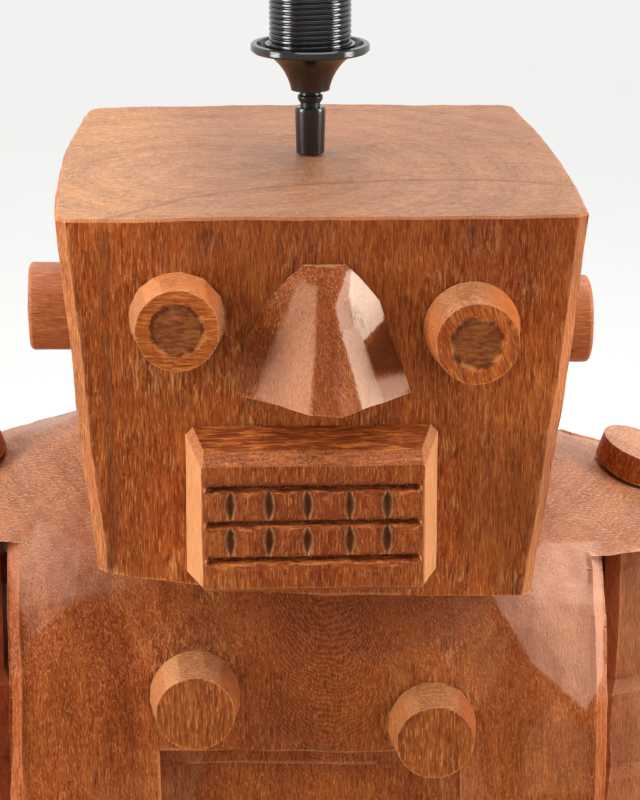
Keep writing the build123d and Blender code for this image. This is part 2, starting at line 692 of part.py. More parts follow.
with BuildPart() as leg_dowels:
    with BuildSketch(Plane.XY.offset(torso_bottom)):
        with Locations(*[(leg_x, torso_middle) for leg_x in legs.values()]):
            Circle(dowel_radius)
    extrude(amount=dowel_length / 2, both=True)
leg_dowels.part.label = "leg_dowels"
export_step(leg_dowels.part, "parts/leg_dowels.step")

with BuildPart() as plinth:
    with BuildSketch(Plane.XY.offset(felt_thickness)):
        with Locations((0, plinth_middle)):
            RectangleRounded(plinth_width, plinth_depth, plinth_corner)
    extrude(amount=plinth_height)
    chamfer(plinth.faces().sort_by(Axis.Z)[-1].edges(), plinth_bevel)
    with BuildSketch(Plane.XY.offset(felt_thickness)):
        with Locations(*screw_spots):
            Circle(screw_head_radius + glue_gap)
    extrude(amount=screw_head_height, mode=Mode.SUBTRACT)
    with BuildSketch(Plane.XY.offset(felt_thickness)):
        with Locations(*screw_spots):
            Circle(screw_radius + glue_gap)
    extrude(amount=plinth_height, mode=Mode.SUBTRACT)
plinth.part.label = "plinth"
export_step(plinth.part, "parts/plinth.step")

with BuildPart() as plinth_felt:
    with BuildSketch(Plane.XY):
        with Locations((0, plinth_middle)):
            RectangleRounded(
                plinth_width - 2 * felt_margin, plinth_depth - 2 * felt_margin, plinth_corner
            )
    extrude(amount=felt_thickness)
plinth_felt.part.label = "plinth_felt"
export_step(plinth_felt.part, "parts/plinth_felt.step")

with BuildPart() as plinth_screws:
    with BuildSketch(Plane.XY.offset(felt_thickness)):
        with Locations(*screw_spots):
            Circle(screw_head_radius)
    extrude(amount=screw_head_height)
    with BuildSketch(Plane.XY.offset(felt_thickness + screw_head_height)):
        with Locations(*screw_spots):
            Circle(screw_radius)
    extrude(amount=screw_length)
plinth_screws.part.label = "plinth_screws"
export_step(plinth_screws.part, "parts/plinth_screws.step")

# ---------------------------------------------------------------- lamp tube in the head
pocket_roof = chin + nut_pocket_depth
nut_top = pocket_roof - washer_thickness
nut_bottom = nut_top - nut_thickness
tube_foot = nut_bottom - tube_below_nut
tube_top = cap_foot + cap_boss_height

with BuildPart() as lamp_tube:
    with BuildSketch(Plane.XY.offset(tube_foot)):
        Circle(tube_radius)
        Circle(tube_bore, mode=Mode.SUBTRACT)
    extrude(amount=tube_top - tube_foot)
lamp_tube.part.label = "lamp_tube"
export_step(lamp_tube.part, "parts/lamp_tube.step")

with BuildPart() as tube_washer:
    with BuildSketch(Plane.XY.offset(nut_top)):
        Circle(washer_radius)
        Circle(tube_radius + glue_gap, mode=Mode.SUBTRACT)
    extrude(amount=washer_thickness)
tube_washer.part.label = "tube_washer"
export_step(tube_washer.part, "parts/tube_washer.step")

with BuildPart() as tube_nut:
    with BuildSketch(Plane.XY.offset(nut_bottom)):
        RegularPolygon(nut_across_flats / 2, 6, major_radius=False)
        Circle(tube_radius + glue_gap, mode=Mode.SUBTRACT)
    extrude(amount=nut_thickness)
tube_nut.part.label = "tube_nut"
export_step(tube_nut.part, "parts/tube_nut.step")

with BuildPart() as stem_sleeve:
    with BuildSketch(Plane.XZ):
        with BuildLine():
            bore = tube_radius + glue_gap
            shoulder_z = head_top + sleeve_height - sleeve_shoulder
            l1 = Polyline(
                (bore, head_top + sleeve_height),
                (bore, head_top),
                (sleeve_foot_radius, head_top),
                (sleeve_top_radius, shoulder_z),
            )
            Spline(
                l1 @ 1,
                (sleeve_top_radius - 0.5 * sleeve_shoulder, head_top + sleeve_height),
                tangents=((0, 1), (-1, 0)),
            )
            Line(
                (sleeve_top_radius - 0.5 * sleeve_shoulder, head_top + sleeve_height), l1 @ 0
            )
        make_face()
    revolve(axis=Axis.Z)
stem_sleeve.part.label = "stem_sleeve"
export_step(stem_sleeve.part, "parts/stem_sleeve.step")

with BuildPart() as stem_bead:
    with BuildSketch(Plane.XY.offset(bead_foot)):
        Circle(bead_radius)
    extrude(amount=bead_height)
    fillet(stem_bead.edges(), bead_round)
    with BuildSketch(Plane.XY.offset(bead_foot)):
        Circle(tube_radius + glue_gap)
    extrude(amount=bead_height, mode=Mode.SUBTRACT)
stem_bead.part.label = "stem_bead"
export_step(stem_bead.part, "parts/stem_bead.step")

# ---------------------------------------------------------------- lamp holder
flare_height = cap_height - cap_rim
flare_middle = (cap_foot_radius + cap_top_radius) / 2 - cap_bow
with BuildPart() as holder_cap:
    with BuildSketch(Plane.XZ):
        with BuildLine():
            outer = ThreePointArc(
                (cap_foot_radius, cap_foot),
                (flare_middle, cap_foot + flare_height / 2),
                (cap_top_radius, cap_top - cap_rim),
            )
            inner = ThreePointArc(
                (cap_foot_radius, cap_foot + cap_boss_height),
                (
                    (cap_foot_radius + cap_bore_radius) / 2 - cap_bore_bow,
                    (cap_foot + cap_boss_height + cap_top - cap_bore_depth) / 2,
                ),
                (cap_bore_radius, cap_top - cap_bore_depth),
            )
            Polyline(
                outer @ 1,
                (cap_top_radius, cap_top),
                (cap_bore_radius, cap_top),
                inner @ 1,
            )
            Polyline(
                inner @ 0,
                (tube_radius + glue_gap, cap_foot + cap_boss_height),
                (tube_radius + glue_gap, cap_foot),
                outer @ 0,
            )
        make_face()
    revolve(axis=Axis.Z)
    with BuildSketch(Plane.XZ.offset(-cap_foot_radius - 1)):
        with Locations((0, cap_foot + cap_boss_height / 2)):
            Circle(lock_screw_radius + glue_gap)
    extrude(amount=cap_foot_radius + 1 - tube_radius, mode=Mode.SUBTRACT)
holder_cap.part.label = "holder_cap"
export_step(holder_cap.part, "parts/holder_cap.step")

with BuildPart() as lock_screw:
    with BuildSketch(Plane.XZ.offset(-tube_radius - glue_gap)):
        with Locations((0, cap_foot + cap_boss_height / 2)):
            Circle(lock_screw_radius)
    extrude(amount=-(cap_foot_radius - tube_radius - lock_screw_sunk))
lock_screw.part.label = "lock_screw"
export_step(lock_screw.part, "parts/lock_screw.step")

mantle_bore = mantle_radius - mantle_wall
mantle_spigot_radius = cap_bore_radius - mantle_spigot_gap
seat_radius = mantle_spigot_radius - mantle_wall
with BuildPart() as holder_mantle:
    with BuildSketch(Plane.XZ):
        with BuildLine():
            Polyline(
                (seat_radius, cap_top - mantle_spigot),
                (mantle_spigot_radius - mantle_wall / 2, cap_top - mantle_spigot),
                (mantle_spigot_radius, cap_top),
                (mantle_neck_radius, cap_top),
                (mantle_neck_radius, thread_foot),
                (mantle_radius, thread_foot),
                (mantle_radius, mantle_top),
                (mantle_bore - mantle_wall, mantle_top),
                (mantle_bore - mantle_wall, mantle_top - mantle_lip),
                (mantle_bore, mantle_top - mantle_lip),
                (mantle_bore, core_foot),
                (seat_radius, core_foot),
                close=True,
            )
        make_face()
    revolve(axis=Axis.Z)
holder_mantle.part.label = "holder_mantle"
export_step(holder_mantle.part, "parts/holder_mantle.step")

ring_bore = mantle_radius + ring_gap
with BuildPart() as shade_ring:
    with BuildSketch(Plane.XZ):
        with BuildLine():
            Polyline(
                (ring_bore, ring_foot),
                (ring_radius - ring_foot_bevel, ring_foot),
                (ring_radius, ring_foot + ring_foot_bevel),
                (ring_radius, ring_foot + ring_height - ring_edge_bevel),
                (ring_radius - ring_edge_bevel, ring_foot + ring_height),
                (ring_radius - ring_rim, ring_foot + ring_height),
                (ring_radius - ring_rim - ring_rim_slope, ring_foot + ring_web),
                (ring_bore + ring_collar, ring_foot + ring_web),
                (ring_bore + ring_collar, ring_foot + ring_height),
                (ring_bore, ring_foot + ring_height),
                close=True,
            )
        make_face()
    revolve(axis=Axis.Z)
shade_ring.part.label = "shade_ring"
export_step(shade_ring.part, "parts/shade_ring.step")

core_radius = mantle_bore - core_radius_gap
stem_hole = contact_stem_radius + contact_stem_gap
with BuildPart() as insulator_core:
    with BuildSketch(Plane.XY.offset(core_foot)):
        Circle(core_radius)
        Circle(stem_hole, mode=Mode.SUBTRACT)
    extrude(amount=core_height)
    with BuildSketch(Plane.XY.offset(core_foot)):
        with Locations((-terminal_x, 0), (terminal_x, 0)):
            Circle(terminal_screw_radius + glue_gap)
    extrude(amount=terminal_screw_length, mode=Mode.SUBTRACT)
insulator_core.part.label = "insulator_core"
export_step(insulator_core.part, "parts/insulator_core.step")

with BuildPart() as terminal_screws:
    with BuildSketch(Plane.XY.offset(core_foot)):
        with Locations((-terminal_x, 0), (terminal_x, 0)):
            Circle(terminal_head_radius)
    extrude(amount=-terminal_head_height)
    with BuildSketch(Plane.XY.offset(core_foot)):
        with Locations((-terminal_x, 0), (terminal_x, 0)):
            Circle(terminal_screw_radius)
    extrude(amount=terminal_screw_length - dowel_end_gap)
terminal_screws.part.label = "terminal_screws"
export_step(terminal_screws.part, "parts/terminal_screws.step")

shell_thread_foot = core_top + shell_foot_height
shell_foot_radius = screw_shell_radius - shell_foot_step
shell_top = core_top + screw_shell_height
shell_flange_radius = core_radius - shell_foot_step
with BuildPart() as screw_shell:
    with BuildSketch(Plane.XZ):
        with BuildLine():
            Polyline(
                (shell_foot_radius, core_top),
                (shell_flange_radius, core_top),
                (shell_flange_radius, core_top + screw_shell_wall),
                (shell_foot_radius + screw_shell_wall, core_top + screw_shell_wall),
                (shell_foot_radius + screw_shell_wall, shell_thread_foot - shell_foot_step),
                (screw_shell_radius + screw_shell_wall, shell_thread_foot),
                (screw_shell_radius + screw_shell_wall, shell_top),
                (screw_shell_radius, shell_top),
                (screw_shell_radius, shell_thread_foot),
                (shell_foot_radius, shell_thread_foot - shell_foot_step),
                close=True,
            )
        make_face()
    revolve(axis=Axis.Z)
screw_shell.part.label = "screw_shell"
export_step(screw_shell.part, "parts/screw_shell.step")

with BuildPart() as centre_contact:
    with BuildSketch(Plane.XY.offset(contact_top)):
        Circle(contact_radius)
    extrude(amount=-contact_thickness)
    with BuildSketch(Plane.XY.offset(contact_top - contact_thickness)):
        Circle(contact_stem_radius)
    extrude(amount=-(contact_height + core_height / 2))
centre_contact.part.label = "centre_contact"
export_step(centre_contact.part, "parts/centre_contact.step")

spring_foot = core_top + spring_wire + spring_gap
spring_head = contact_top - contact_thickness - spring_wire - spring_gap
spring_length = spring_head - spring_foot
with BuildPart() as contact_spring:
    with BuildLine(Plane.XY.offset(spring_foot)) as coil:
        Helix(spring_length / spring_turns, spring_length, spring_radius)
    with BuildSketch(Plane(origin=coil.line @ 0, z_dir=coil.line % 0)):
        Circle(spring_wire)
    sweep()
contact_spring.part.label = "contact_spring"
export_step(contact_spring.part, "parts/contact_spring.step")

# ---------------------------------------------------------------- cord inlet
with BuildPart() as cord_bush:
    with BuildSketch(front_plane(0, torso_back + bush_flange, torso_bottom + bush_rise)):
        Circle(bush_flange_radius)
    extrude(amount=bush_flange)
    fillet(cord_bush.edges().sort_by(Axis.Y)[-1], bush_round)
    with BuildSketch(front_plane(0, torso_back, torso_bottom + bush_rise)):
        Circle(bush_radius)
    extrude(amount=bush_length)
    with BuildSketch(front_plane(0, torso_back + bush_flange, torso_bottom + bush_rise)):
        Circle(bush_bore)
    extrude(amount=bush_flange + bush_length, mode=Mode.SUBTRACT)
cord_bush.part.label = "cord_bush"
export_step(cord_bush.part, "parts/cord_bush.step")
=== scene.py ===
# %% [markdown]
# # A carved robot that carries a lamp holder
#
# The lamp is a block robot, carved by hand from reddish-brown hardwood, with a black screw lamp
# holder on its head. The CAD model is the fixed frame: it says where each piece is. This lesson
# gives the pieces their carved surfaces, their thread and their finishes.

# %% Open the frame
import json
import math

import bpy
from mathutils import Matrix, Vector

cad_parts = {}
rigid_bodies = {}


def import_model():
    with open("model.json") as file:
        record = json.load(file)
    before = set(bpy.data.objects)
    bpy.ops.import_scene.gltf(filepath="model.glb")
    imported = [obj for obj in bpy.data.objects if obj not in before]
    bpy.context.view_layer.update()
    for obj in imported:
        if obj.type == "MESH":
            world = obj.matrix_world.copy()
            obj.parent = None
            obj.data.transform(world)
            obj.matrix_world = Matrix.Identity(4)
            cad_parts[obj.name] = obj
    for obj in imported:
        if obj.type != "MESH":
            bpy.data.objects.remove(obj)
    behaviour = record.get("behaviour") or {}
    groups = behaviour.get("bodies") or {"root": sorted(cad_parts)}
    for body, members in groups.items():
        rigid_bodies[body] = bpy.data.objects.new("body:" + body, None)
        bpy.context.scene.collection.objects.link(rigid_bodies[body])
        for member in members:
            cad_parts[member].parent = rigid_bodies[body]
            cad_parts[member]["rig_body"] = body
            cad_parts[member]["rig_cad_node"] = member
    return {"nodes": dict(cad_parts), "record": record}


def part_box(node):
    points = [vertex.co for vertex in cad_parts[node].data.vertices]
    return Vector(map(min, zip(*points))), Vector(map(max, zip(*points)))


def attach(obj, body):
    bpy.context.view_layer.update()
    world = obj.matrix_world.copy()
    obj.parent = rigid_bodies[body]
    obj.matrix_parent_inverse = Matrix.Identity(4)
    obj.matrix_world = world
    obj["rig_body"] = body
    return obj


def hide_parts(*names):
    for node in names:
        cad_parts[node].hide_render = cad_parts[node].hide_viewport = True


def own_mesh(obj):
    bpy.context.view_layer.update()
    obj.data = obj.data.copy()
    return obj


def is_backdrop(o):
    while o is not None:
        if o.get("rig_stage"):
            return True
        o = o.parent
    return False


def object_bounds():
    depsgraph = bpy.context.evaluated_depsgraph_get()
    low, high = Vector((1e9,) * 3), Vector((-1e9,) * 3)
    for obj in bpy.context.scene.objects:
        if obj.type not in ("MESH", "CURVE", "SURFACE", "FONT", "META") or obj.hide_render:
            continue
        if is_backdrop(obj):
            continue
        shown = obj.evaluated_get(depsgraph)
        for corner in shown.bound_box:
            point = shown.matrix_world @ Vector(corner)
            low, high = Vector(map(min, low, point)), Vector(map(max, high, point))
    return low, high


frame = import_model()
nodes = frame["nodes"]
solid_low, solid_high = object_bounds()
print("height of the lamp in mm:", round(1000 * (solid_high.z - solid_low.z), 1))

# %% [markdown]
# ## Camera
#
# A long lens looks slightly down on the head, from a little left of the middle. It keeps the
# faces of the blocks nearly parallel. Every piece can be judged through it from now on.

# %% Set the camera
scene = bpy.context.scene


def put_up(data, place, turn):
    """Puts a camera or a light into the scene, turned by angles round X, Y and Z."""
    holder = bpy.data.objects.new(data.name, data)
    holder.location, holder.rotation_euler = place, turn
    scene.collection.objects.link(holder)
    return holder


lens = bpy.data.cameras.new("camera")
lens.sensor_width = 36.0
lens.lens = 112.5
down_and_aside = (math.radians(72.2), 0.0, math.radians(-2.489))
camera = scene.camera = put_up(lens, (-0.047, -1.189, 0.8158), down_and_aside)
print("camera stands", round(camera.location.length, 2), "m from the lamp's foot")

# %% [markdown]
# ## Floor and light
#
# The lamp stands in a white studio. A broad soft light from above makes the flat tops pale, and
# two tall boxes at the sides catch the bevels and the round plugs, so the front faces stay the
# darkest and richest in colour. One large floor is enough as a backdrop, because the camera looks
# down on it.

# %% Lay the floor
FLOOR_SIZE = 60.0


def deselect():
    """Operators act on all that is selected, and the CAD nodes come in selected."""
    bpy.ops.object.select_all(action="DESELECT")


deselect()
bpy.ops.mesh.primitive_plane_add(size=FLOOR_SIZE, location=(0, 0, -0.0005))
floor = bpy.context.object
floor.name = "floor"
floor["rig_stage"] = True
print("floor:", FLOOR_SIZE, "m wide")

# %% Light the studio
scene.view_settings.view_transform = "Standard"
world = bpy.data.worlds.new("studio")
world.use_nodes = True
scene.world = world
studio = world.node_tree
FRONT_LIGHT, BACK_LIGHT = 0.20, 1.0
direction = studio.nodes.new("ShaderNodeTexCoord")
split = studio.nodes.new("ShaderNodeSeparateXYZ")
fade = studio.nodes.new("ShaderNodeMapRange")
fade.interpolation_type = "SMOOTHSTEP"
for socket, value in zip(range(1, 5), (-0.25, 0.75, FRONT_LIGHT, BACK_LIGHT)):
    fade.inputs[socket].default_value = value  # from low, from high, to low, to high
studio.links.new(direction.outputs["Generated"], split.inputs["Vector"])
studio.links.new(split.outputs["Y"], fade.inputs["Value"])
studio.links.new(fade.outputs["Result"], studio.nodes["Background"].inputs["Strength"])
studio.nodes["Background"].inputs["Color"].default_value = (1.0, 0.995, 0.985, 1)
print("the studio is", BACK_LIGHT / FRONT_LIGHT, "times brighter behind the lamp than before it")


HEAD_MIDDLE = Vector((0.0, -0.05, 0.45))


def soft_box(name, place, size, power):
    """A square lamp panel at a place, turned to face the head."""
    light = bpy.data.lights.new(name, "AREA")
    light.shape = "RECTANGLE"
    light.size, light.size_y = size
    light.energy = power
    look = (HEAD_MIDDLE - Vector(place)).to_track_quat("-Z", "Y").to_euler()
    put_up(light, place, look)
    print(name, "shines with", power, "W from", place)


soft_box("left_box", (-1.5, -0.45, 0.95), (0.6, 1.4), 35.0)
soft_box("right_box", (1.6, -0.35, 0.95), (0.6, 1.4), 34.0)
soft_box("top_box", (0.25, 1.0, 2.1), (1.6, 0.9), 23.0)

sky = bpy.data.lights.new("sky_panel", "SUN")
sky.energy = 1.65
sky.angle = math.radians(50)
put_up(sky, (0, 0, 0), (math.radians(14), math.radians(7), 0.0))

# %% [markdown]
# ## A small language for finishes
#
# A finish is a network of nodes. Two small classes keep it readable: sums and products of Wires
# add their own maths nodes, and a Finish adds any other node.

# %% Wires and finishes
class Wire:
    """An output socket that can be added, taken away and multiplied."""

    def __init__(self, finish, socket):
        self.finish, self.socket = finish, socket

    def __add__(self, other):
        return self.finish.maths("ADD", self, other)

    def __sub__(self, other):
        return self.finish.maths("SUBTRACT", self, other)

    def __rsub__(self, other):
        return self.finish.maths("SUBTRACT", other, self)

    def __mul__(self, other):
        return self.finish.maths("MULTIPLY", self, other)

    __radd__, __rmul__ = __add__, __mul__


class Finish:
    """A material with one Principled shader, and a way to add nodes to it."""

    def __init__(self, name):
        self.material = bpy.data.materials.new(name)
        self.material.use_nodes = True
        self.tree = self.material.node_tree
        self.shader = self.tree.nodes["Principled BSDF"]

    def plug(self, target, value):
        """A wire is linked to the socket, and a plain value is set on it."""
        if isinstance(value, Wire):
            self.tree.links.new(value.socket, target)
        elif hasattr(target.default_value, "__len__"):
            target.default_value = (*value, 1.0)[: len(target.default_value)]
        else:
            target.default_value = value

    def add(self, kind, settings, sockets, out=0):
        node = self.tree.nodes.new(kind)
        for key, value in settings.items():
            setattr(node, key, value)
        for key, value in sockets.items():
            self.plug(node.inputs[key], value)
        return Wire(self, node.outputs[out])

    def surface(self, **sockets):
        """Fills the shader's own sockets: Base_Color stands for Base Color."""
        for key, value in sockets.items():
            self.plug(self.shader.inputs[key.replace("_", " ")], value)
        return self.material

    def maths(self, operation, *values):
        return self.add("ShaderNodeMath", {"operation": operation}, dict(enumerate(values)))

    def measure(self, operation, *vectors):
        """A number worked out of one or two vectors."""
        sockets = dict(enumerate(vectors))
        return self.add("ShaderNodeVectorMath", {"operation": operation}, sockets, "Value")

    def place(self):
        """The piece's own coordinates, in metres."""
        return self.add("ShaderNodeTexCoord", {}, {}, "Object")

    def facing(self):
        """The direction that the surface faces, in the piece's own axes."""
        return self.add("ShaderNodeTexCoord", {}, {}, "Normal")

    def part(self, vector, axis):
        return self.add("ShaderNodeSeparateXYZ", {}, {"Vector": vector}, axis)

    def stored(self, name):
        """A value that the carving step stores on each point."""
        return self.add("ShaderNodeAttribute", {"attribute_name": name}, {}, "Fac")

    def mapped(self, vector, move=(0, 0, 0), turn=(0, 0, 0), scale=(1, 1, 1)):
        sockets = {"Vector": vector, "Location": move, "Rotation": turn, "Scale": scale}
        return self.add("ShaderNodeMapping", {}, sockets)

    def noise(self, vector, scale, detail=3.0, rough=0.55, warp=0.0):
        sockets = {"Scale": scale, "Detail": detail, "Roughness": rough, "Distortion": warp}
        return self.add("ShaderNodeTexNoise", {}, {"Vector": vector, **sockets})

    def cells(self, vector, scale, out="Distance"):
        return self.add("ShaderNodeTexVoronoi", {}, {"Vector": vector, "Scale": scale}, out)

    def band(self, value, low, high, smooth=True):
        """0 below low and 1 above high."""
        kind = {"interpolation_type": "SMOOTHSTEP" if smooth else "LINEAR"}
        sockets = {"Value": value, "From Min": low, "From Max": high}
        return self.add("ShaderNodeMapRange", kind, sockets)

    def blend(self, share, first, second):
        """Mixes two colours."""
        sockets = {0: share, 6: first, 7: second}
        return self.add("ShaderNodeMix", {"data_type": "RGBA"}, sockets, 2)

    def coats(self, under, *layers):
        """Lays thin layers over a colour, each a share and a screen colour or a wire."""
        for share, tint in layers:
            over = tint if isinstance(tint, Wire) else colour(*tint)
            under = self.blend(share, under, over)
        return under

    def ramp(self, value, *stops):
        wire = self.add("ShaderNodeValToRGB", {}, {"Fac": value})
        elements = wire.socket.node.color_ramp.elements
        while len(elements) < len(stops):
            elements.new(0.5)
        for element, (place, tint) in zip(elements, stops):
            element.position, element.color = place, (*tint, 1.0)
        return wire

    def shades(self, value, *stops, tone=1.0):
        """A ramp of screen colours, made lighter or darker by a tone."""
        return self.ramp(value, *((at, colour(*(c * tone for c in tint))) for at, tint in stops))

    def relief(self, height, depth, under=None):
        """Bump of a real depth in metres."""
        sockets = {"Height": height, "Distance": depth, "Strength": 1.0}
        if under is not None:
            sockets["Normal"] = under
        return self.add("ShaderNodeBump", {}, sockets)


def colour(red, green, blue):
    """A colour as seen on a screen, 0 to 255, made linear for the shader."""
    return tuple(
        c / 12.92 if c <= 0.04045 else ((c + 0.055) / 1.055) ** 2.4
        for c in (red / 255, green / 255, blue / 255)
    )


print("a mid wood brown is", [round(c, 3) for c in colour(165, 92, 55)], "in linear light")

# %% Finish the floor
paper = Finish("studio_paper")
mottle = paper.noise(paper.place(), 3.0, 2.0)
GLOW_FROM, GLOW_TO = -0.3, 3.7  # metres along Y, behind the lamp
# Painted light: the floor glows, faintly near the lamp and brightly far behind it.
glow = paper.band(paper.part(paper.place(), "Y"), GLOW_FROM, GLOW_TO, smooth=False)
floor.data.materials.append(
    paper.surface(
        Base_Color=paper.ramp(mottle, (0.3, (0.385, 0.385, 0.38)), (0.7, (0.40, 0.40, 0.395))),
        Roughness=0.9,
        Specular_IOR_Level=0.1,
        Emission_Color=paper.ramp(
            glow,
            (0.0, (0.05, 0.05, 0.05)),
            (0.30, (0.335, 0.335, 0.33)),
            (0.42, (0.375, 0.375, 0.37)),
            (1.0, (0.475, 0.475, 0.47)),
        ),
        Emission_Strength=1.0,
    )
)
print("floor finish:", floor.active_material.name)

# %% [markdown]
# ## The wood
#
# The wood is a dense tropical hardwood under a thin wax. It is one solid pattern in space, as in
# a real log: fibres and pores run along the grain, and rings stand round a pith. A face along the
# grain then shows streaks and pore dashes, and a face across it shows rings and dots. The worn
# edges, the painted highlight on faces turned to the lamps and the painted shade in grooves and
# creases come from three attributes that the carving step stores on each piece.

# %% Lay out the grain
MM = 0.001
RINGS, WIDE_RINGS, FINE_RINGS = 980.0, 262.0, 2500.0  # tau divided by their distance in metres


class Grain:
    """The patterns of a log. The grain runs along Z before the turn, round a pith."""

    def __init__(self, f, pith, turn, sawn_from):
        spot = f.mapped(f.mapped(f.place(), turn=turn), move=(-pith[0], -pith[1], 0))
        self.finish, self.spot = f, spot
        along = self.drawn(0.13)
        self.fibre = f.noise(along, 820.0, 4.0, 0.70, 0.8)
        fleck = f.noise(self.drawn(0.19), 840.0, 3.0, 0.6, 0.9)
        self.flecks = f.band(fleck, 0.57, 0.68)
        self.streak = f.noise(self.drawn(0.14), 52.0, 3.0, 0.5, 0.6)
        self.cloud = f.noise(self.drawn(0.45), 15.0, 3.0)
        self.grit = f.noise(spot, 1100.0, 3.0, 0.7)

        wander = f.noise(spot, 7.0, 2.0) - 0.5
        run = f.measure("LENGTH", self.drawn(0.0)) + wander * 0.022
        self.ring = f.maths("SINE", run * RINGS) * 0.5 + 0.5
        self.wide_ring = f.maths("SINE", run * WIDE_RINGS) * 0.5 + 0.5
        self.fine_ring = f.maths("SINE", run * FINE_RINGS)

        holes = f.cells(self.drawn(0.10), 620.0)
        rows = f.band(f.noise(along, 45.0, 2.0), 0.36, 0.60)
        self.pore = (1 - f.band(holes, 0.10, 0.28)) * rows

        across = f.part(f.mapped(f.facing(), turn=turn), "Z")
        self.sawn = f.band(f.maths("ABSOLUTE", across), sawn_from, 0.98)

    def drawn(self, share):
        """Coordinates that count only a share of each length along the grain."""
        return self.finish.mapped(self.spot, scale=(1, 1, share))


SIDE_BROWNS = (
    (0.34, (96, 36, 9)), (0.45, (142, 64, 21)), (0.54, (168, 84, 31)), (0.68, (204, 122, 58)),
)


def bare_wood(f, g, tone, end, mesh):
    """Side grain in streaks and flecks, end grain in rings and dots, and the pores of both."""
    side_tone = g.fibre * 0.54 + 0.06 + g.streak * 0.12 + g.cloud * 0.26
    side_tone = side_tone + (g.ring + g.wide_ring - 1) * 0.02 - 0.02
    side = f.shades(side_tone, *SIDE_BROWNS, tone=tone)
    end_tone = g.cloud * 0.35 + g.grit * mesh + (g.ring - 0.5) * 0.07
    end_tone = end_tone + (g.wide_ring - 0.5) * 0.09 + g.fine_ring * 0.035
    end_tone = end_tone + 0.325 - 0.5 * mesh
    dark, light = [c * 0.84 for c in end], [min(255, c * 1.13) for c in end]
    cross = f.shades(end_tone, (0.36, dark), (0.50, end), (0.66, light))
    return f.coats(
        f.blend(g.sawn, side, cross),
        (g.pore * 0.60, (56, 20, 7)),
        (g.flecks * (1 - g.sawn) * 0.38, (214, 136, 70)),
    )


print("the finest rings stand", round(math.tau / FINE_RINGS / MM, 1), "mm apart")

# %% [markdown]
# ## Torn, worn and whittled wood
#
# A chisel driven against the grain lifts fibres and tears small holes. Hands wear the proud edges
# pale. The grooves and creases get a painted shade, the faces turned to the lamps a painted cream
# highlight, and each tool mark a painted sheen or shade of its own. These are thin layers over the
# bare wood, each with a mask. The raised fibres are a fine pattern less a slightly shifted copy of
# itself, which paints a highlight on one flank of each fibre and a shade on the other.

# %% Tear and wear the wood
# The colours of the painted cream highlight on faces turned to the lamps.
CREAM = ((214, 136, 80), (252, 192, 134))


def lobes(f, spots):
    """The nearest of several round places on the front, each a middle x, z and a radius in mm."""
    near = None
    for x, z, radius in spots:
        off = f.mapped(f.place(), move=(-x * MM, 0, -z * MM))
        gap = f.measure("LENGTH", f.mapped(off, scale=(1, 0, 1)))
        share = 1 - f.band(gap, 0.35 * radius * MM, radius * MM)
        near = share if near is None else f.maths("MAXIMUM", near, share)
    return near


def torn_fibres(f, g, torn, tears):
    """Where fibres stand up, and where the chisel tore some out."""
    lifted = f.band(f.noise(g.drawn(0.25), 52.0, 3.0, 0.6), 0.60, 0.72)
    lifted = lifted * f.band(g.fibre, 0.45, 0.60) * torn
    if not tears:
        return lifted, g.flecks * 0.0
    shreds = f.noise(g.drawn(0.2), 480.0, 2.0, 0.5, 0.8)
    near = lobes(f, tears)
    lifted = f.maths("MAXIMUM", lifted, near * f.band(shreds, 0.54, 0.62))
    return lifted, near * (1 - f.band(shreds, 0.38, 0.45))


def used_wood(f, g, hue, lifted, tear, lit_pale, deep):
    """Lifted fibres, tears, a painted cream highlight on faces turned to the lamps, worn edges and
    a painted shade in grooves and creases.
    """
    highlight = f.blend(g.fibre, colour(*CREAM[0]), colour(*CREAM[1]))
    return f.coats(
        hue,
        (lifted * (1 - g.sawn) * 0.62, (220, 146, 84)),
        (tear * (1 - g.sawn) * 0.55, (66, 27, 9)),
        # painted highlight on faces turned to the lamps
        (lit_pale * (0.70 + g.flecks * 0.2), highlight),
        (f.band(f.stored("worn"), 0.25, 1.0) * (0.30 + g.fibre * 0.5), (220, 142, 88)),
        # painted shade in grooves and creases
        (deep * (0.55 + g.fibre * 0.4), (78, 31, 11)),
    )


def facet_sheen_and_shade(f, g, hue, facet, calm):
    """Paints a sheen on one tool mark and a shade on the next, except in calm places."""
    bend = f.noise(g.spot, 14.0, 0.0) - 0.5
    nudge = f.add(
        "ShaderNodeVectorMath",
        {"operation": "MULTIPLY_ADD"},
        {0: bend * 0.04, 1: (1, 0.3, -1), 2: g.drawn(0.5)},
    )
    mood = f.part(f.cells(nudge, 33.0, "Color"), "X")
    share = (1 - lobes(f, calm)) * facet if calm else facet
    # painted sheen on some tool marks, painted shade on others
    return f.coats(
        hue,
        (f.band(mood, 0.3, 1.0) * share, (224, 166, 126)),
        ((1 - f.band(mood, 0.0, 0.5)) * share * 0.5, (96, 42, 16)),
    )


def fibre_light_and_shade(f, g, hue, lit_pale, dash):
    """Paints a highlight on one flank of each fibre and a shade on the other, and on each dot of
    the end grain.
    """

    def slivers(shift):
        slid = f.mapped(g.spot, move=(shift, shift, 0.0), scale=(1, 1, dash))
        return f.noise(slid, 1450.0, 2.0, 0.6, 0.5)

    def specks(shift):
        slid = f.mapped(g.spot, move=(0.0, shift, shift), scale=(0.35, 1, 1))
        return f.noise(slid, 1300.0, 2.0, 0.6, 0.4)

    raised = slivers(0.0) - slivers(0.00035)
    pricked = (specks(0.0) - specks(0.0004)) * g.sawn
    soft = 1 - f.band(g.sawn + lit_pale * 0.4, 0.0, 1.3)
    return f.coats(
        hue,
        (f.band(pricked, 0.04, 0.18) * 0.45, (240, 184, 130)),
        (f.band(0.0 - pricked, 0.04, 0.18) * 0.45, (118, 66, 34)),
        (f.band(raised, 0.06, 0.24) * soft * 0.45, (232, 152, 84)),
        (f.band(0.0 - raised, 0.06, 0.24) * soft * 0.45, (74, 27, 8)),
    )


print("fresh side grain runs from and to", *CREAM)

# %% Wax the wood
PALE_END, RED_END = (165, 109, 66), (156, 72, 28)


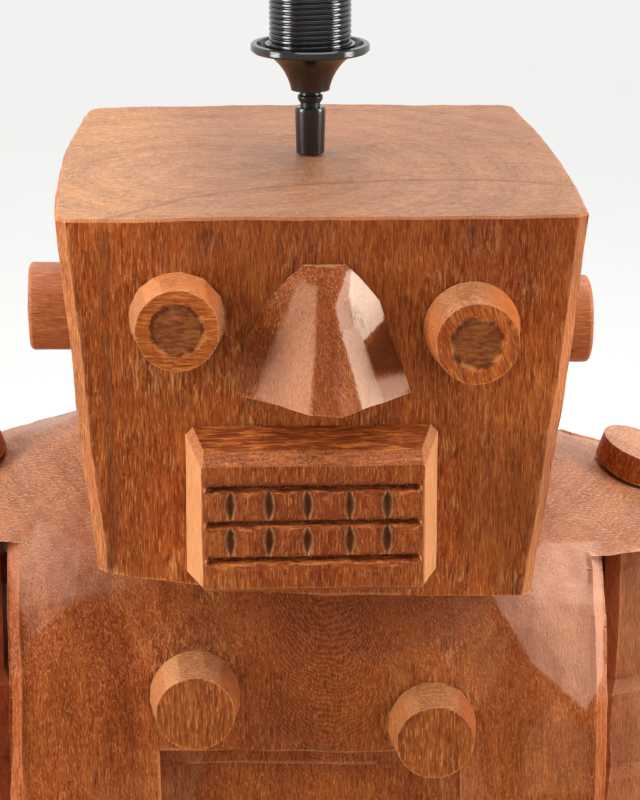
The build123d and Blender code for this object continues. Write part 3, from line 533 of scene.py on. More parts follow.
def wood(
    name, pith=(0.006, -0.072), turn=(0, 0, 0), tone=1.0, torn=0.5, end=PALE_END, sawn_from=0.55,
    mesh=0.6, polish=0.3, facet=0.0, calm=(), dash=0.11, painted_sheen=0.0, tears=(), extra=None,
):
    """Waxed hardwood.

    pith and turn lay the log, and sawn_from is how squarely a face must cut it to show end grain.
    tone is how light the side grain is, end the colour of the end grain and mesh how strong its
    fine net is. torn is how much of the surface has lifted fibres, and tears are places where the
    chisel tore them. polish is how much wax the upper faces have taken, facet how strong a painted
    sheen or shade each tool mark gets and calm where it gets none, dash how short the raised fibres
    are, and haze how much tan painted sheen lies over the wood. extra paints the marks of a single
    piece, some of them painted highlights and shades.
    """
    f = Finish(name)
    g = Grain(f, pith, turn, sawn_from)
    lit_pale, deep = f.stored("lit_pale"), f.stored("deep")
    lifted, tear = torn_fibres(f, g, torn, tears)
    hue = bare_wood(f, g, tone, end, mesh)
    hue = used_wood(f, g, hue, lifted, tear, lit_pale, deep)
    if facet:
        hue = facet_sheen_and_shade(f, g, hue, facet, calm)
    hue = fibre_light_and_shade(f, g, hue, lit_pale, dash)
    # a tan painted sheen over the wood
    if painted_sheen:
        hue = f.coats(hue, (painted_sheen, (190, 140, 102)))
    if extra:
        hue = extra(f, hue)

    height = g.fibre * 0.8 + g.flecks * 0.3 + g.grit * 0.15 + (1 - g.pore) * 0.5
    height = height + (lifted * 1.4 - tear * 1.2) * (1 - g.sawn)
    strokes = f.noise(g.drawn(0.4), 70.0, 1.0)
    upward = f.band(f.part(f.facing(), "Z"), 0.05, 0.75)
    return f.surface(
        Base_Color=hue,
        Roughness=0.44 + (g.fibre - 0.5) * 0.35 + g.pore * 0.2 + lifted * 0.25 + deep * 0.2,
        Normal=f.relief(strokes, 0.0026, f.relief(height, 0.00045)),
        Specular_IOR_Level=0.10,
        Sheen_Weight=0.03,
        Sheen_Roughness=0.45,
        Coat_Weight=upward * polish * (0.6 + g.fibre * 0.8),
        Coat_Roughness=0.42,
    )


print("end grain is", PALE_END, "or, in the ears,", RED_END)

# %% [markdown]
# ## Marks of single pieces
#
# The crown has a dark growth line, and a painted shade darkens the upper face and its lower right.
# The nose and the shoulders were finished with broad flat cuts, and each cut gets a painted
# highlight or a painted shade of its own. The mouth's sloped top was planed from side to side, the
# hollow of the chest cuts the rings into hanging bows, and the pupils are rough and dished. Each
# mark is a mask in space, with places in mm on the front.

# %% Draw growth lines, and paint light and shade on flat cuts
ARC_MIDDLE, ARC_RADIUS = (47.9, -235.0), 176.5
# Painted shade on the face: middle x, z and radius in mm.
FACE_SHADE = ((-5, 556, 95), (75, 562, 70), (95, 430, 50))


def growth_line(f, hue):
    """A thin dark growth line over the crown, behind the stem, and a painted shade on the upper
    face and its lower right.
    """
    off = f.mapped(f.place(), move=(-ARC_MIDDLE[0] * MM, -ARC_MIDDLE[1] * MM, 0))
    reach = f.measure("LENGTH", f.mapped(off, scale=(1, 1, 0)))
    wobble = (f.noise(f.place(), 22.0, 2.0) - 0.5) * 0.006
    off_line = f.maths("ABSOLUTE", reach + wobble - ARC_RADIUS * MM)
    line = 1 - f.band(off_line, 0.0008, 0.0030)
    broken = f.band(f.noise(f.place(), 60.0, 2.0), 0.25, 0.45)
    shade = lobes(f, FACE_SHADE) * 0.40
    return f.coats(hue, (line * broken * 0.5, (112, 58, 30)), (shade, (84, 30, 8)))


def cut_mark(f, corners, soft):
    """1 within a cut whose corners are given in mm on the front, 0 beyond its soft border."""
    middle = sum((Vector((x, 0, z)) for x, z in corners), Vector()) / len(corners)
    inside = None
    for (x, z), (next_x, next_z) in zip(corners, corners[1:] + corners[:1]):
        corner = Vector((x, 0, z))
        inward = Vector((z - next_z, 0, next_x - x)).normalized()
        if inward.dot(middle - corner) < 0:
            inward = -inward
        gap = f.measure("DOT_PRODUCT", f.place(), inward) - inward.dot(corner) * MM
        inside = gap if inside is None else f.maths("MINIMUM", inside, gap)
    ragged = (f.noise(f.place(), 350.0, 2.0) - 0.5) * 0.002
    return f.band(inside + ragged, -soft * MM, soft * MM)


def paint_cut_light_and_shade(f, hue, marks):
    """Paints each flat cut on the front with its own painted highlight or shade, a little cloudy.
    """
    bright = f.noise(f.place(), 900.0, 2.0) * 0.5 + 0.75
    front = (1 - f.band(f.part(f.place(), "Y"), -0.03, 0.0)) * bright
    for corners, soft, share, tint in marks:
        mark = cut_mark(f, corners, soft) * front * share
        hue = f.coats(hue, (f.maths("MINIMUM", mark, 1.0), tint))
    return hue


# %% Paint light and shade on the nose's cuts, and plane the mouth
# Painted highlights and painted shades on the facets of the nose.
NOSE_LIGHT_AND_SHADE = (  # corners, soft border in mm, share and tint
    (((-3, 534), (4.5, 534), (5, 522), (7.4, 511), (18, 476), (-6.5, 478), (-4.5, 503)),
     0.5, 0.45, (112, 42, 17)),
    (((-10, 533), (-3, 530), (-4.5, 503), (-7, 476), (-30, 480), (-22, 505)),
     1.5, 0.40, (206, 152, 120)),
    (((-26, 512), (-22, 505), (-30, 483), (-42, 481), (-36, 500)), 3.0, 0.35, (104, 46, 20)),
    (((10.6, 536), (13, 536), (13.5, 514.5), (7.4, 511.7), (5, 522.8)), 0.5, 0.62, (216, 170, 146)),
    (((7.4, 512), (13.5, 515), (17.3, 507.5), (28, 474), (18, 474)), 0.6, 0.72, (222, 178, 152)),
    (((27.6, 515), (36, 499), (39, 488), (22.4, 492.5), (17.5, 505.5), (25, 512)),
     2.0, 0.75, (92, 40, 18)),
    (((20, 480), (28, 476), (41, 482), (39, 487.5), (22, 490)), 2.0, 0.62, (216, 172, 146)),
    (((12.8, 537), (27.7, 519), (27, 513), (17.3, 507.6), (13.3, 514.4), (11.3, 527)),
     0.7, 0.78, (240, 208, 184)),
)


def nose_light_and_shade(f, hue):
    """Painted highlights and shades on the nose's facets: one bright highlight, a softer one down
    to the foot, and shades on the others.
    """
    return paint_cut_light_and_shade(f, hue, NOSE_LIGHT_AND_SHADE)


def lip_marks(f, hue):
    """The sloped top of the mouth, planed along, so that its grain runs from side to side."""
    up = f.part(f.facing(), "Z")
    sloped = f.band(up, 0.15, 0.35) * (1 - f.band(up, 0.94, 0.98))
    lying = f.noise(f.mapped(f.place(), scale=(0.11, 1, 1)), 760.0, 3.0, 0.6, 0.7)
    planed = f.shades(lying, (0.34, (104, 42, 12)), (0.5, (144, 66, 22)), (0.66, (200, 116, 50)))
    rough = f.noise(f.place(), 900.0, 2.0)
    hem = f.shades(rough, (0.38, (142, 68, 34)), (0.62, (214, 142, 92)))
    steep = f.band(up, 0.50, 0.62) * (1 - f.band(up, 0.76, 0.84))
    planed = f.coats(planed, (steep * 0.38, hem))
    return f.coats(hue, (0.14, (140, 44, 16)), (sloped * (1 - f.stored("lit_pale")), planed))


print("the nose has", len(NOSE_LIGHT_AND_SHADE), "flat cuts")

# %% Mark the chest and the pupils
# Painted sheen and painted shade on the flat cuts of the shoulders.
TORSO_LIGHT_AND_SHADE = (
    (((82, 368), (107, 387), (136, 385), (134, 330), (125, 316), (100, 338)),
     1.0, 0.32, (232, 184, 158)),
    (((72, 341), (84, 355), (102, 354), (115.5, 334), (108, 307), (84, 314)),
     1.0, 0.26, (122, 62, 32)),
    (((112.6, 322), (127, 302), (129, 273), (95, 273), (98.6, 307.4)), 1.0, 0.07, (226, 170, 130)),
    (((-147, 383), (-131, 400), (-112, 392), (-114, 370), (-135, 353)), 1.0, 0.09, (232, 184, 158)),
)


def chest_arcs(f, hue):
    """Nested growth lines like hanging bows, where the hollow of the chest cuts the rings, over a
    painted sheen and shade on the shoulders' flat cuts.
    """
    hue = paint_cut_light_and_shade(f, f.coats(hue, (0.10, (134, 44, 12))), TORSO_LIGHT_AND_SHADE)
    axes = f.mapped(f.place(), move=(-4 * MM, 0, 0))
    x, z = f.part(axes, "X"), f.part(axes, "Z")
    sway = f.noise(f.place(), 45.0, 2.0) * 0.016 + f.noise(f.place(), 300.0, 2.0) * 0.0026
    bows = f.maths("SINE", (z - x * x * 34.0 + sway) * 2600.0)
    near = lobes(f, ((4, 330, 75), (-8, 352, 60)))
    return f.coats(
        hue,
        (f.band(bows, 0.1, 0.9) * near * 0.16, (206, 126, 64)),
        (f.band(0.0 - bows, 0.1, 0.9) * near * 0.20, (92, 36, 12)),
    )


def pupil(node):
    """The rough dished pupil of an eye: olive brown, cross-cut, with a dark torn rim."""
    low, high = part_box(node)
    x, z = (low.x + high.x) / 2, (low.z + high.z) / 2

    def paint(f, hue):
        off = f.mapped(f.place(), move=(-x, 0, -z))
        reach = f.measure("LENGTH", f.mapped(off, scale=(1, 0, 1)))
        ragged = reach + (f.noise(f.place(), 260.0, 3.0) - 0.5) * 0.0036
        hatch = f.noise(f.mapped(f.place(), turn=(0, 0.9, 0), scale=(0.3, 1, 1)), 620.0, 3.0)
        dish = f.shades(hatch, (0.34, (94, 45, 17)), (0.50, (124, 66, 30)), (0.66, (154, 90, 46)))
        rim = (1 - f.band(ragged, 0.0116, 0.0124)) * f.band(ragged, 0.0096, 0.0106)
        patchy = f.band(f.noise(f.place(), 130.0, 2.0), 0.40, 0.58)
        return f.coats(
            hue,
            ((1 - f.band(ragged, 0.0095, 0.0113)) * 0.85, dish),
            (rim * (1 - patchy) * 0.35, (206, 140, 82)),
            (rim * patchy * 0.75, (66, 27, 9)),
        )

    return paint


print("the shoulders have", len(TORSO_LIGHT_AND_SHADE), "flat cuts")

# %% Finish each piece of wood
HEAD_TEARS = (  # middle x, z and radius in mm
    (-84, 535, 9), (-78, 489, 14), (-62, 482, 12), (-40, 505, 12), (-44, 486, 10), (-30, 470, 12),
    (52, 530, 12), (70, 548, 12), (86, 508, 8), (90, 525, 9), (-50, 548, 10), (-10, 543, 14),
    (21, 463, 14), (57, 452, 8), (58, 425, 7), (44, 399, 8), (-94, 392, 9), (86, 386, 10),
    (-68, 446, 6), (40, 520, 9), (-66, 400, 8), (60, 392, 9), (-63, 515, 33), (66, 508, 33),
)
CHEST_TEARS = ((-59, 336, 34), (50, 314, 34), (-52, 372, 8), (62, 346, 10), (94, 384, 8))
QUARTER = math.radians(90)
head_wood = wood(
    "head_wood", pith=(-0.045, -0.042), tone=1.05, end=(166, 110, 66), polish=0.16, torn=0.9,
    tears=HEAD_TEARS, extra=growth_line,
)
torso_wood = wood(
    "torso_wood", pith=(0.02, 0.03), torn=0.3, end=(164, 108, 74), sawn_from=0.3, mesh=1.1,
    polish=0.5, facet=0.23, calm=((3, 330, 105), (-105, 330, 90)), dash=0.28, tears=CHEST_TEARS,
    extra=chest_arcs,
)
plug = {"pith": (0.012, 0.02), "end": (144, 78, 41)}
knob_wood = wood("knob_wood", tone=0.92, **plug)
eye_woods = {
    side: wood(f"{side}_eye_wood", tone=1.07, turn=(0, turn, 0), extra=pupil(f"{side}_eye"), **plug)
    for side, turn in (("left", QUARTER), ("right", 0.3))
}
ear_wood = wood(
    "ear_wood", pith=(0.02, 0.03), turn=(0, QUARTER, 0), end=RED_END, tone=1.02, painted_sheen=0.25
)
jaw = {"pith": (0.03, -0.02), "tone": 0.94, "torn": 0.9, "sawn_from": 0.93, "polish": 0.1}
mouth_wood = wood("mouth_wood", extra=lip_marks, **jaw)
beak = {"pith": (0.03, -0.02), "tone": 0.91, "sawn_from": 0.97, "dash": 0.3, "polish": 0.07}
nose_wood = wood("nose_wood", extra=nose_light_and_shade, **beak)
limb_wood = wood("limb_wood", pith=(0.05, 0.04), torn=0.5, mesh=0.9, facet=0.2, painted_sheen=0.3)
print("wood finishes:", [m.name for m in bpy.data.materials if m.name.endswith("_wood")])

# %% [markdown]
# ## Carving
#
# A carved block is never quite flat, and its arrises wander. Each wooden piece starts as a copy of
# its CAD solid, whose loose triangles are merged. It is cut by three sets of planes into a fine
# grid, which keeps every edge where it is, and then pushed in and out a little by slow patterns:
# long waves, a short ripple, and the shallow scoops that a gouge leaves. Texture alone would
# leave the outline straight, so the shape itself is moved.

# %% Copy a solid and cut it into a grid
MERGE = 1e-6


def switch(mode):
    bpy.ops.object.mode_set(mode=mode)


def select_mesh(action="SELECT"):
    bpy.ops.mesh.select_all(action=action)


def close_up():
    """Turns the faces of a closed mesh outwards, and leaves edit mode."""
    select_mesh()
    bpy.ops.mesh.normals_make_consistent(inside=False)
    switch("OBJECT")


def start_copy(node, name):
    """A merged copy of a CAD solid, alone in the selection and in edit mode."""
    deselect()
    nodes[node].select_set(True)
    bpy.context.view_layer.objects.active = nodes[node]
    bpy.ops.object.duplicate()
    piece = bpy.context.object
    piece.name = piece.data.name = name
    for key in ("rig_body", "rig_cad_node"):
        del piece[key]
    bpy.ops.mesh.customdata_custom_splitnormals_clear()
    switch("EDIT")
    select_mesh()
    bpy.ops.mesh.remove_doubles(threshold=MERGE)
    bpy.ops.mesh.dissolve_limited(angle_limit=math.radians(0.5))
    return piece


def grid_cut(low, high, pitch):
    """Cuts the open mesh along planes that are a pitch apart, along X, Y and Z."""
    for axis in range(3):
        normal = Vector((0, 0, 0))
        normal[axis] = 1.0
        step = math.ceil(low[axis] / pitch + 0.3)
        while step * pitch < high[axis] - 0.3 * pitch:
            select_mesh()
            bpy.ops.mesh.bisect(plane_co=normal * (step * pitch), plane_no=normal)
            step += 1


print("solids to copy:", len(nodes))

# %% Push the surface in and out
def pattern(name, kind, size, **settings):
    texture = bpy.data.textures.new(name, kind)
    texture.noise_scale = size
    for key, value in settings.items():
        setattr(texture, key, value)
    return texture


waves = pattern("waves", "CLOUDS", 0.045, noise_depth=1, cloud_type="COLOR")
ripple = pattern("ripple", "CLOUDS", 0.012, noise_depth=1, cloud_type="COLOR")
crumbs = pattern("crumbs", "CLOUDS", 0.003, noise_depth=2)
scoops = pattern("scoops", "VORONOI", 0.019, distance_metric="DISTANCE_SQUARED")
long_scoops = pattern("long_scoops", "VORONOI", 0.034, distance_metric="DISTANCE_SQUARED")


def modify(piece, name, kind, **settings):
    """Adds a modifier and applies it at once."""
    change = piece.modifiers.new(name, kind)
    for key, value in settings.items():
        setattr(change, key, value)
    bpy.ops.object.modifier_apply(modifier=change.name)


def displace(piece, texture, strength, **settings):
    settings.update(texture=texture, texture_coords="LOCAL", strength=strength)
    modify(piece, texture.name, "DISPLACE", **settings)


def drift(piece, texture, strength):
    """Moves each point along all three axes by the pattern's three colours, edges and all."""
    displace(piece, texture, strength, direction="RGB_TO_XYZ")


def hollow(piece, texture, depth):
    """Sinks shallow scoops into the faces, and leaves the edges where they are."""
    displace(piece, texture, depth, vertex_group="faces", mid_level=0.42)


def keep_inside(piece, low, high):
    """Draws a piece in where its waves would stand out of the CAD solid's box."""
    bounds = [piece.matrix_world @ Vector(corner) for corner in piece.bound_box]
    for axis in range(3):
        least, most = min(b[axis] for b in bounds), max(b[axis] for b in bounds)
        if least >= low[axis] and most <= high[axis]:
            continue
        middle = (low + high) / 2
        reach = max(most - middle[axis], middle[axis] - least)
        factor = Vector((1, 1, 1))
        factor[axis] = 0.9999 * (high[axis] - low[axis]) / 2 / reach
        switch("EDIT")
        select_mesh()
        bpy.ops.transform.resize(value=factor, center_override=middle)
        switch("OBJECT")


print("patterns:", [texture.name for texture in bpy.data.textures])

# %% Find worn edges, and where highlight and shade are painted
EDGE_BEND, EDGE_GAIN = 0.06, 2.5  # one less the cosine of 20 degrees is 0.06


def mark_wear(piece, highlight_rule=None, groove_rule=None):
    """worn is 1 on proud edges, deep is the painted shade in grooves and creases, and pale is the
    painted highlight that a rule gives a face.

    A groove rule says how deep a face's middle lies in a cut, which is painted as shade; no edge is
    worn in there.
    """
    mesh = piece.data
    count = len(mesh.vertices)
    worn, deep, lit_pale = [0.0] * count, [0.0] * count, [0.0] * count
    sides = {}
    for face in mesh.polygons:
        for key in face.edge_keys:
            sides.setdefault(key, []).append(face)
        for values, rule in ((lit_pale, highlight_rule), (deep, groove_rule)):
            share = rule(face) if rule else 0.0
            for v in face.vertices:
                values[v] = max(values[v], share)
    for (a, b), faces in sides.items():
        if len(faces) != 2:
            continue
        first, second = faces
        bend = 1 - first.normal.dot(second.normal)
        if bend < EDGE_BEND:
            continue
        proud = (second.center - first.center).dot(first.normal) < 0
        # A concave edge gets painted shade through deep, a proud one wear.
        target = worn if proud else deep
        for v in (a, b):
            target[v] = max(target[v], min(1.0, bend * EDGE_GAIN))
    if groove_rule:
        worn = [0.2 * w if d > 0 else w for w, d in zip(worn, deep)]
    for name, values in (("worn", worn), ("deep", deep), ("lit_pale", lit_pale)):
        mesh.attributes.new(name, "FLOAT", "POINT").data.foreach_set("value", values)
    inner = [v for v in range(count) if max(worn[v], deep[v]) <= 0]
    piece.vertex_groups.new(name="faces").add(inner, 1.0, "REPLACE")


# %% [markdown]
# ## Plugs, pupils and teeth
#
# The eyes and the knobs are tapered plugs, pared round with a chisel in flat cuts that are never
# quite alike. The cuts are planes through the solid, so they meet in real arrises. A pupil was
# hollowed with a small gouge, and the gaps between the teeth were opened wider than the V-cuts.
# Both move the points of the finished grid, because a gouge leaves rounded forms and not planes.

# %% Whittle the wall of a plug
TAPER, TAPER_SWAY = 0.12, 0.035
PARED, PARED_SWAY = 0.012, 0.008  # shares of the plug's radius


def whittle(low, high, facets):
    """Pares flat cuts round a tapered plug that stands out to the front, as a chisel does."""
    x, z = (low.x + high.x) / 2, (low.z + high.z) / 2
    foot_radius = (high.z - low.z) / 2
    length = min(high.y - low.y, foot_radius)
    for cut in range(facets):
        angle = math.radians(360 * (cut + 0.30 * math.sin(5.0 * cut)) / facets)
        out = Vector((math.cos(angle), 0, math.sin(angle)))
        lean = TAPER + TAPER_SWAY * math.sin(3.0 * cut + 1)
        depth = foot_radius * (PARED + PARED_SWAY * math.sin(7.0 * cut))
        reach = foot_radius - 0.5 * length * lean - depth
        select_mesh()
        bpy.ops.mesh.bisect(
            plane_co=Vector((x, low.y + 0.5 * length, z)) + out * reach,
            plane_no=out + Vector((0, -lean, 0)),
            use_fill=True,
            clear_outer=True,
        )


# %% Roughen the pupils
PUPIL_RADIUS, PUPIL_SINK = 0.0128, 0.0030


def roughen_pupil(piece, low, high):
    """Wears the pupil's clean groove down to an uneven dish."""
    x, z = (low.x + high.x) / 2, (low.z + high.z) / 2
    inside = [
        v.index
        for v in piece.data.vertices
        if math.hypot(v.co.x - x, v.co.z - z) < PUPIL_RADIUS and v.co.y < low.y + PUPIL_SINK
    ]
    piece.vertex_groups.new(name="pupil").add(inside, 1.0, "REPLACE")
    modify(piece, "pupil", "SMOOTH", vertex_group="pupil", factor=0.8, iterations=60)
    displace(piece, ripple, 0.0022, vertex_group="pupil")
    displace(piece, crumbs, 0.0009, vertex_group="pupil")


# %% Open the gaps between the teeth
mouth_low, mouth_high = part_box("mouth")
TEETH_LOW, TEETH_HIGH, TEETH_SIDE, GROOVE = 0.404, 0.4465, 0.0095, 0.0032
TOOTH_GAPS = (-0.0418, -0.0245, -0.0075, 0.0114, 0.0283)
TOOTH_ROWS, GAP_REACH = (0.4160, 0.43275), (0.0062, 0.0092)
TOOTH_LINES, LINE_REACH = (0.4075, 0.4245, 0.4410), 0.0030
# reach of the painted shade round the gouged gaps, across and along
SHADE_REACH = (0.0054, 0.0090)


def nearest(value, places, reach):
    """How far a value is from the nearest of some places, as a share of a reach."""
    return min(abs(value - place) for place in places) / reach


def among_teeth(point, border=0.0):
    inside = mouth_low.x + TEETH_SIDE < point.x < mouth_high.x - TEETH_SIDE
    return inside and TEETH_LOW - border < point.z < TEETH_HIGH + border


def open_gaps(piece):
    """Gouges the gaps between the teeth wider than the V-cuts, and rounds the teeth's edges."""
    gaps, teeth = (piece.vertex_groups.new(name=name) for name in ("gaps", "teeth"))
    for v in piece.data.vertices:
        if v.co.y > mouth_low.y + 2 * GROOVE or not among_teeth(v.co, 0.003):
            continue
        teeth.add([v.index], 1.0, "REPLACE")
        aside = nearest(v.co.x, TOOTH_GAPS, GAP_REACH[0])
        along = nearest(v.co.z, TOOTH_ROWS, GAP_REACH[1])
        across = nearest(v.co.z, TOOTH_LINES, LINE_REACH)
        share = max(0.0, 1 - aside**2) * max(0.0, 1 - along**2)
        share = max(share, 0.55 * max(0.0, 1 - across**2))
        if share > 0:
            gaps.add([v.index], share, "REPLACE")
    inwards = {"direction": "Y", "mid_level": 0.0, "strength": 0.0026}
    modify(piece, "gaps", "DISPLACE", vertex_group="gaps", **inwards)
    modify(piece, "teeth", "SMOOTH", vertex_group="teeth", factor=0.5, iterations=5)
    displace(piece, crumbs, 0.0014, vertex_group="teeth")


def tooth_groove(face):
    """How far a face lies behind the front of the teeth, and a soft shade round the gouged gaps and
    along the lines between the rows, all painted shade.
    """
    centre = face.center
    if not among_teeth(centre):
        return 0.0
    aside = nearest(centre.x, TOOTH_GAPS, SHADE_REACH[0])
    along = nearest(centre.z, TOOTH_ROWS, SHADE_REACH[1])
    shade = max(0.0, 1 - aside) * max(0.0, 1 - along) * 0.9
    line = 0.6 * max(0.0, 1 - nearest(centre.z, TOOTH_LINES, LINE_REACH))
    behind = (centre.y - mouth_low.y - 0.0002) / (0.6 * GROOVE)
    return min(1.0, max(shade, line, behind))


print("teeth:", len(TOOTH_ROWS) * (len(TOOTH_GAPS) + 1))

# %% [markdown]
# ## Carve every piece
#
# The steps run in one order for all pieces: pare, cut the grid, find the worn places and where
# highlight and shade are painted, scoop and wave the surface, and draw it back into the solid's
# box. The grid's pitch follows the size of the piece. Short rules say which faces get a painted
# highlight.

# %% Put the steps together
def carve(
    node, material, pitch, wave, gouge, name=None, lit_pale=None, groove=None, facets=0, tool=scoops
):
    """Copies a wooden CAD solid, carves its surface and lets the copy stand for the solid.

    facets whittles the wall of a plug, and tool is the pattern of the gouge's marks.
    """
    low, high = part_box(node)
    piece = start_copy(node, "carved_" + (name or node))
    if facets:
        whittle(low, high, facets)
    grid_cut(low, high, pitch)
    close_up()
    if facets and "eye" in node:
        roughen_pupil(piece, low, high)
    mark_wear(piece, lit_pale, groove)
    if groove:
        open_gaps(piece)
    hollow(piece, tool, gouge)
    drift(piece, waves, 2.0 * wave)
    drift(piece, ripple, 0.8 * wave)
    keep_inside(piece, low, high)
    finish_piece(piece, material, node, angle=22)


def finish_piece(piece, material, node, angle=35):
    """Gives a piece of the figure its finish and slot, and lets it stand for a CAD node."""
    bpy.ops.object.shade_smooth_by_angle(angle=math.radians(angle))
    piece.data.materials.clear()
    piece.data.materials.append(material)
    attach(piece, "figure")
    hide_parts(node)
    print(piece.name, "has", len(piece.data.polygons), "faces")


# %% Choose the faces that get a painted highlight
def side_highlight(face):
    """The bevels and ends that face left or right get a painted highlight."""
    return min(1.0, max(0.0, abs(face.normal.x) * 1.8 - 0.5))


def wall_highlight(face):
    """A painted highlight on the round wall of a plug, facet by facet, but not on its end,
    strongest on facets that face up and to the left, and on plugs left of the middle.
    """
    normal = face.normal
    facet = math.floor(8 * math.atan2(normal.z, normal.x) / math.pi)
    mood = 0.5 + 0.5 * math.sin(4.0 * facet + 0.7)
    # facing up and to the left gives more painted highlight
    up = max(0.0, 0.75 * normal.z - 0.55 * normal.x)
    share = 0.42 if face.center.x > 0 else 0.78
    return min(1.0, max(0.0, 1.3 - 1.8 * abs(normal.y))) * up * (0.5 + 0.5 * mood) * share


def strip_highlight(face):
    """A painted highlight on the bevelled upright edges of the head."""
    return 0.3 if 0.3 < abs(face.normal.x) < 0.92 and face.normal.y < -0.25 else 0.0


# %% Carve the head and the face
head_cuts = {"pitch": 0.003, "wave": 0.0007, "gouge": 0.0008, "lit_pale": strip_highlight}
carve("head_block", head_wood, name="head", **head_cuts)
carve("nose", nose_wood, pitch=0.0014, wave=0.0004, gouge=0.0005)
mouth_cuts = {"pitch": 0.0011, "wave": 0.0004, "gouge": 0.0003}
carve("mouth", mouth_wood, **mouth_cuts, lit_pale=side_highlight, groove=tooth_groove)
eye_cuts = {"pitch": 0.0012, "wave": 0.0003, "gouge": 0.0006, "lit_pale": wall_highlight, "facets": 16}
ear_cuts = {"pitch": 0.0018, "wave": 0.0003, "gouge": 0.0005}
knob_cuts = {"pitch": 0.0014, "wave": 0.0003, "gouge": 0.0006, "lit_pale": wall_highlight, "facets": 17}
for side in ("left", "right"):
    carve(f"{side}_eye", eye_woods[side], **eye_cuts)
    carve(f"{side}_ear", ear_wood, **ear_cuts)
    carve(f"{side}_knob", knob_wood, **knob_cuts)

# %% Carve the torso and the limbs
torso_cuts = {"pitch": 0.0036, "wave": 0.0012, "gouge": 0.0032, "tool": long_scoops}
carve("torso_block", torso_wood, name="torso", **torso_cuts)
carve("chest_panel", torso_wood, name="panel", pitch=0.003, wave=0.0003, gouge=0.0002)
stud_cuts = {"pitch": 0.0018, "wave": 0.0003, "gouge": 0.0004}
LIMBS = (  # pitch, wave and gouge in metres
    ("arm", 0.003, 0.0008, 0.0006),
    ("leg", 0.0035, 0.0008, 0.0006),
    ("foot", 0.0035, 0.0006, 0.0005),
)
for side in ("left", "right"):
    carve(f"{side}_shoulder_stud", torso_wood, name=f"{side}_stud", **stud_cuts)
    for limb, pitch, wave, gouge in LIMBS:
        carve(f"{side}_{limb}", limb_wood, pitch, wave, gouge)
carve("plinth", limb_wood, pitch=0.005, wave=0.0006, gouge=0.0004)

# %% [markdown]
# ## Plain finishes
#
# The lamp holder is glossy black moulding, its stem black lacquer over turned metal. Inside the
# holder are brass, steel and unglazed ceramic, and there is felt under the plinth.

# %% Black, metal, ceramic and felt
def plain(name, base, rough, metal=0.0, scale=300.0, spread=0.10, depth=0.00005, **more):
    """A finish with a little cloudiness in its colour and gloss, and a faint relief."""
    f = Finish(name)
    spot = f.place()
    fine = f.noise(spot, scale, 3.0)
    broad = f.noise(spot, scale / 12, 2.0)
    darker, lighter = ([min(1.0, c * (1 + s)) for c in base] for s in (-spread, spread))
    return f.surface(
        Base_Color=f.blend(broad, darker, lighter),
        Roughness=rough + (fine - 0.5) * 0.18 + (broad - 0.5) * 0.12,
        Metallic=metal,
        Normal=f.relief(fine, depth),
        **more,
    )


holder_black = plain("holder_black", (0.008, 0.008, 0.0085), 0.14, Specular_IOR_Level=0.85)
stem_black = plain("stem_black", (0.009, 0.009, 0.010), 0.24, Coat_Weight=0.3, Coat_Roughness=0.12)
zinc_steel = plain("zinc_steel", (0.55, 0.56, 0.58), 0.36, 1.0, 500.0)
tube_steel = plain("tube_steel", (0.045, 0.042, 0.040), 0.36, 0.9, 500.0)
dusty = {"spread": 0.35, "depth": 0.0004, "Sheen_Weight": 0.4}

finish_of_slot = {
    "carved_wood": torso_wood,
    "dowel_wood": wood("dowel_wood", tone=1.1),
    "holder_black": holder_black,
    "stem_black": stem_black,
    "zinc_steel": zinc_steel,
    "brass": plain("brass", (0.72, 0.50, 0.20), 0.28, 1.0, 400.0),
    "porcelain": plain("ceramic", (0.80, 0.79, 0.75), 0.45, 0.0, 250.0, 0.04),
    "bush_plastic": plain("bush_black", (0.02, 0.02, 0.02), 0.45, 0.0, 700.0),
    "felt": plain("felt", (0.045, 0.040, 0.036), 0.95, 0.0, 1600.0, **dusty),
}
for part in frame["record"]["subparts"]:
    node = nodes[part["node"]]
    finish = tube_steel if part["node"] == "lamp_tube" else finish_of_slot[part["material_slot"]]
    for material_slot in node.material_slots:
        material_slot.material = finish
print("finished", len(nodes), "CAD nodes")

# %% [markdown]
# ## The threaded mantle
#
# The holder's mantle has a real screw thread, on which the shade ring runs. One turn of the
# thread's outline is drawn and swept up a helix by a Screw modifier. The ends are cut level, the
# inside is made by extruding the top rim inwards and down, and a bridge closes the foot.

# %% Draw an outline point by point
SEAM_MERGE = 1e-5


def outline(name, points):
    """A line in the XZ plane, extruded from one vertex. It stays in edit mode."""
    deselect()
    bpy.ops.mesh.primitive_plane_add(size=0.001, location=(0, 0, 0))
    piece = bpy.context.object
    piece.name = piece.data.name = name
    switch("EDIT")
    select_mesh()
    bpy.ops.mesh.merge(type="CENTER")
    here = Vector((points[0][0], 0, points[0][1]))
    bpy.ops.transform.translate(value=here)
    for radius, height in points[1:]:
        there = Vector((radius, 0, height))
        bpy.ops.mesh.extrude_vertices_move(TRANSFORM_OT_translate={"value": there - here})
        here = there
    return piece


def turned(name, points, segments=96):
    """A closed outline of radius and height, spun round the lamp's axis. Back in object mode."""
    piece = outline(name, [*points, points[0]])
    select_mesh()
    bpy.ops.mesh.spin(steps=segments, angle=math.tau, center=(0, 0, 0), axis=(0, 0, 1))
    select_mesh()
    bpy.ops.mesh.remove_doubles(threshold=SEAM_MERGE)
    close_up()
    return piece


